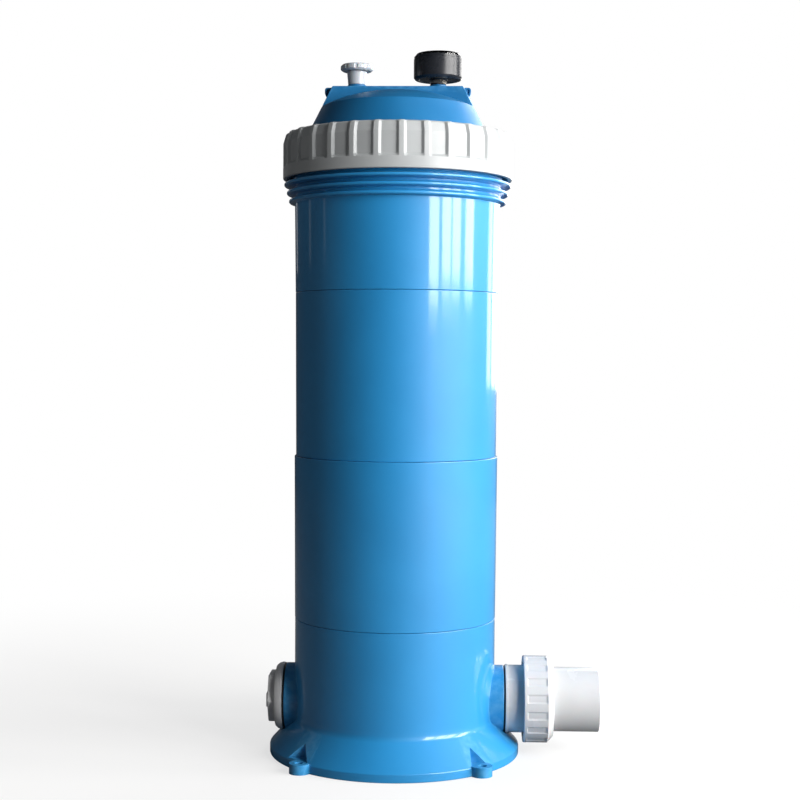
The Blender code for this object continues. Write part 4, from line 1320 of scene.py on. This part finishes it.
cartridgeLook = {
    "radius": 89.0,
    "pleats": 100,
    "pleatOut": 85.6,
    "pleatIn": 39.9,
    "levels": 10,
    "clothThick": 0.55,
    "core": (36.4, 2.2),      # outside radius and wall
    "coreSides": 36,
    "coreRows": 37,
}


def cartridgeCaps():
    low, high = cornersOf("cartridge_bottom_cap")
    wide = cartridgeLook["radius"]
    bottom = spinOutline("cartridge_bottom_cap_cast", [
        (25.1, low.z, 0.8), (44.0, low.z, 0.6), (45.0, low.z + 1.2, 0.6), (78.0, low.z + 1.2, 0.6),
        (79.0, low.z, 0.6),
        (wide, low.z, 1.6), (wide, high.z, 1.0), (86.6, high.z, 0.4), (86.6, 98.2), (32.0, 98.2),
        (32.0, high.z, 0.5),
        (25.1, high.z, 0.8),
    ], 144)
    finishPiece(bottom, "cap", "element", "element_cap", "cartridge_bottom_cap")
    low, high = cornersOf("cartridge_top_cap")
    top = spinOutline("cartridge_top_cap_cast", [
        (0, 551.8), (86.6, 551.8), (86.6, low.z, 0.4), (wide, low.z, 1.0), (wide, high.z, 1.6),
        (79.0, high.z, 0.6),
        (78.0, high.z - 1.2, 0.6), (45.0, high.z - 1.2, 0.6), (44.0, high.z, 0.6), (30.0, high.z, 1.2),
        (27.0, 556.0, 1.2), (0, 556.0),
    ], 144)
    finishPiece(top, "cap", "element", "element_cap", "cartridge_top_cap")


def pleatedCloth():
    look = cartridgeLook
    low, high = cornersOf("cartridge_media")
    deselectAll()
    bpy.ops.mesh.primitive_circle_add(vertices=4 * look["pleats"], radius=look["pleatOut"] * mm,
        location=(0, 0, low.z * mm))
    cloth = bpy.context.object
    cloth.name = "cartridge_pleats"
    bpy.ops.object.transform_apply(location=True, rotation=True, scale=True)
    pickPart(cloth, lambda vertex: vertex.index % 4 > 1)
    inward = look["pleatIn"] / look["pleatOut"]
    bpy.ops.transform.resize(value=(inward, inward, 1), center_override=(0, 0, 0))
    step = (high.z - low.z) * mm / look["levels"]
    bpy.ops.mesh.select_all(action="SELECT")
    for level in range(look["levels"]):
        bpy.ops.mesh.extrude_region_move(TRANSFORM_OT_translate={"value": (0, 0, step)})
    bpy.ops.object.mode_set(mode="OBJECT")
    pickPart(cloth, lambda vertex: (low.z + 5) * mm < vertex.co.z < (high.z - 5) * mm)
    bpy.ops.transform.vertex_random(offset=0.35 * mm, seed=4)
    bpy.ops.mesh.select_all(action="SELECT")
    bpy.ops.mesh.normals_make_consistent(inside=False)
    bpy.ops.object.mode_set(mode="OBJECT")
    runModifier(cloth, "SOLIDIFY", thickness=look["clothThick"] * mm, offset=0)
    finishPiece(cloth, "cloth", "element", "element_media", "cartridge_media", smooth=50)


def coreTube():
    look = cartridgeLook
    low, high = cornersOf("cartridge_core")
    deselectAll()
    bpy.ops.mesh.primitive_cylinder_add(vertices=2 * look["coreSides"], radius=look["core"][0] * mm,
        depth=(high.z - low.z) * mm, end_fill_type="NOTHING", location=(0, 0, (high.z + low.z) / 2 * mm))
    core = bpy.context.object
    core.name = "cartridge_core_tube"
    bpy.ops.object.transform_apply(location=True, rotation=True, scale=True)
    heights = [vertex.co.z for vertex in core.data.vertices]
    pickPart(core, lambda edge: abs(heights[edge.vertices[0]] - heights[edge.vertices[1]]) > 0.1, "edges")
    bpy.ops.mesh.subdivide(number_cuts=look["coreRows"] - 1)
    bpy.ops.object.mode_set(mode="OBJECT")
    span = (high.z - low.z) * mm / look["coreRows"]

    def slot(face):
        row = int((face.center.z - low.z * mm) / span)
        side = int(math.degrees(math.atan2(face.center.y, face.center.x)) % 360 / (180 / look["coreSides"]))
        return row % 2 == 1 and side % 4 in ((0, 1) if row % 4 == 1 else (2, 3))

    pickPart(core, slot, "polygons")
    bpy.ops.mesh.delete(type="FACE")
    bpy.ops.object.mode_set(mode="OBJECT")
    runModifier(core, "SOLIDIFY", thickness=look["core"][1] * mm, offset=-1)
    finishPiece(core, "inner", "element", "inner_white", "cartridge_core")


def cartridgeBands():
    for node in ("cartridge_band_lower", "cartridge_band_upper"):
        low, high = cornersOf(node)
        band = spinOutline(node + "_strip", [
            (86.6, low.z, 0.3), (87.6, low.z, 0.4), (87.6, high.z, 0.4), (86.6, high.z, 0.3)], 144)
        finishPiece(band, "inner", "element", "inner_white", node)


outletElbow()
cartridgeCaps()
pleatedCloth()
coreTube()
cartridgeBands()
print("cartridge is done")
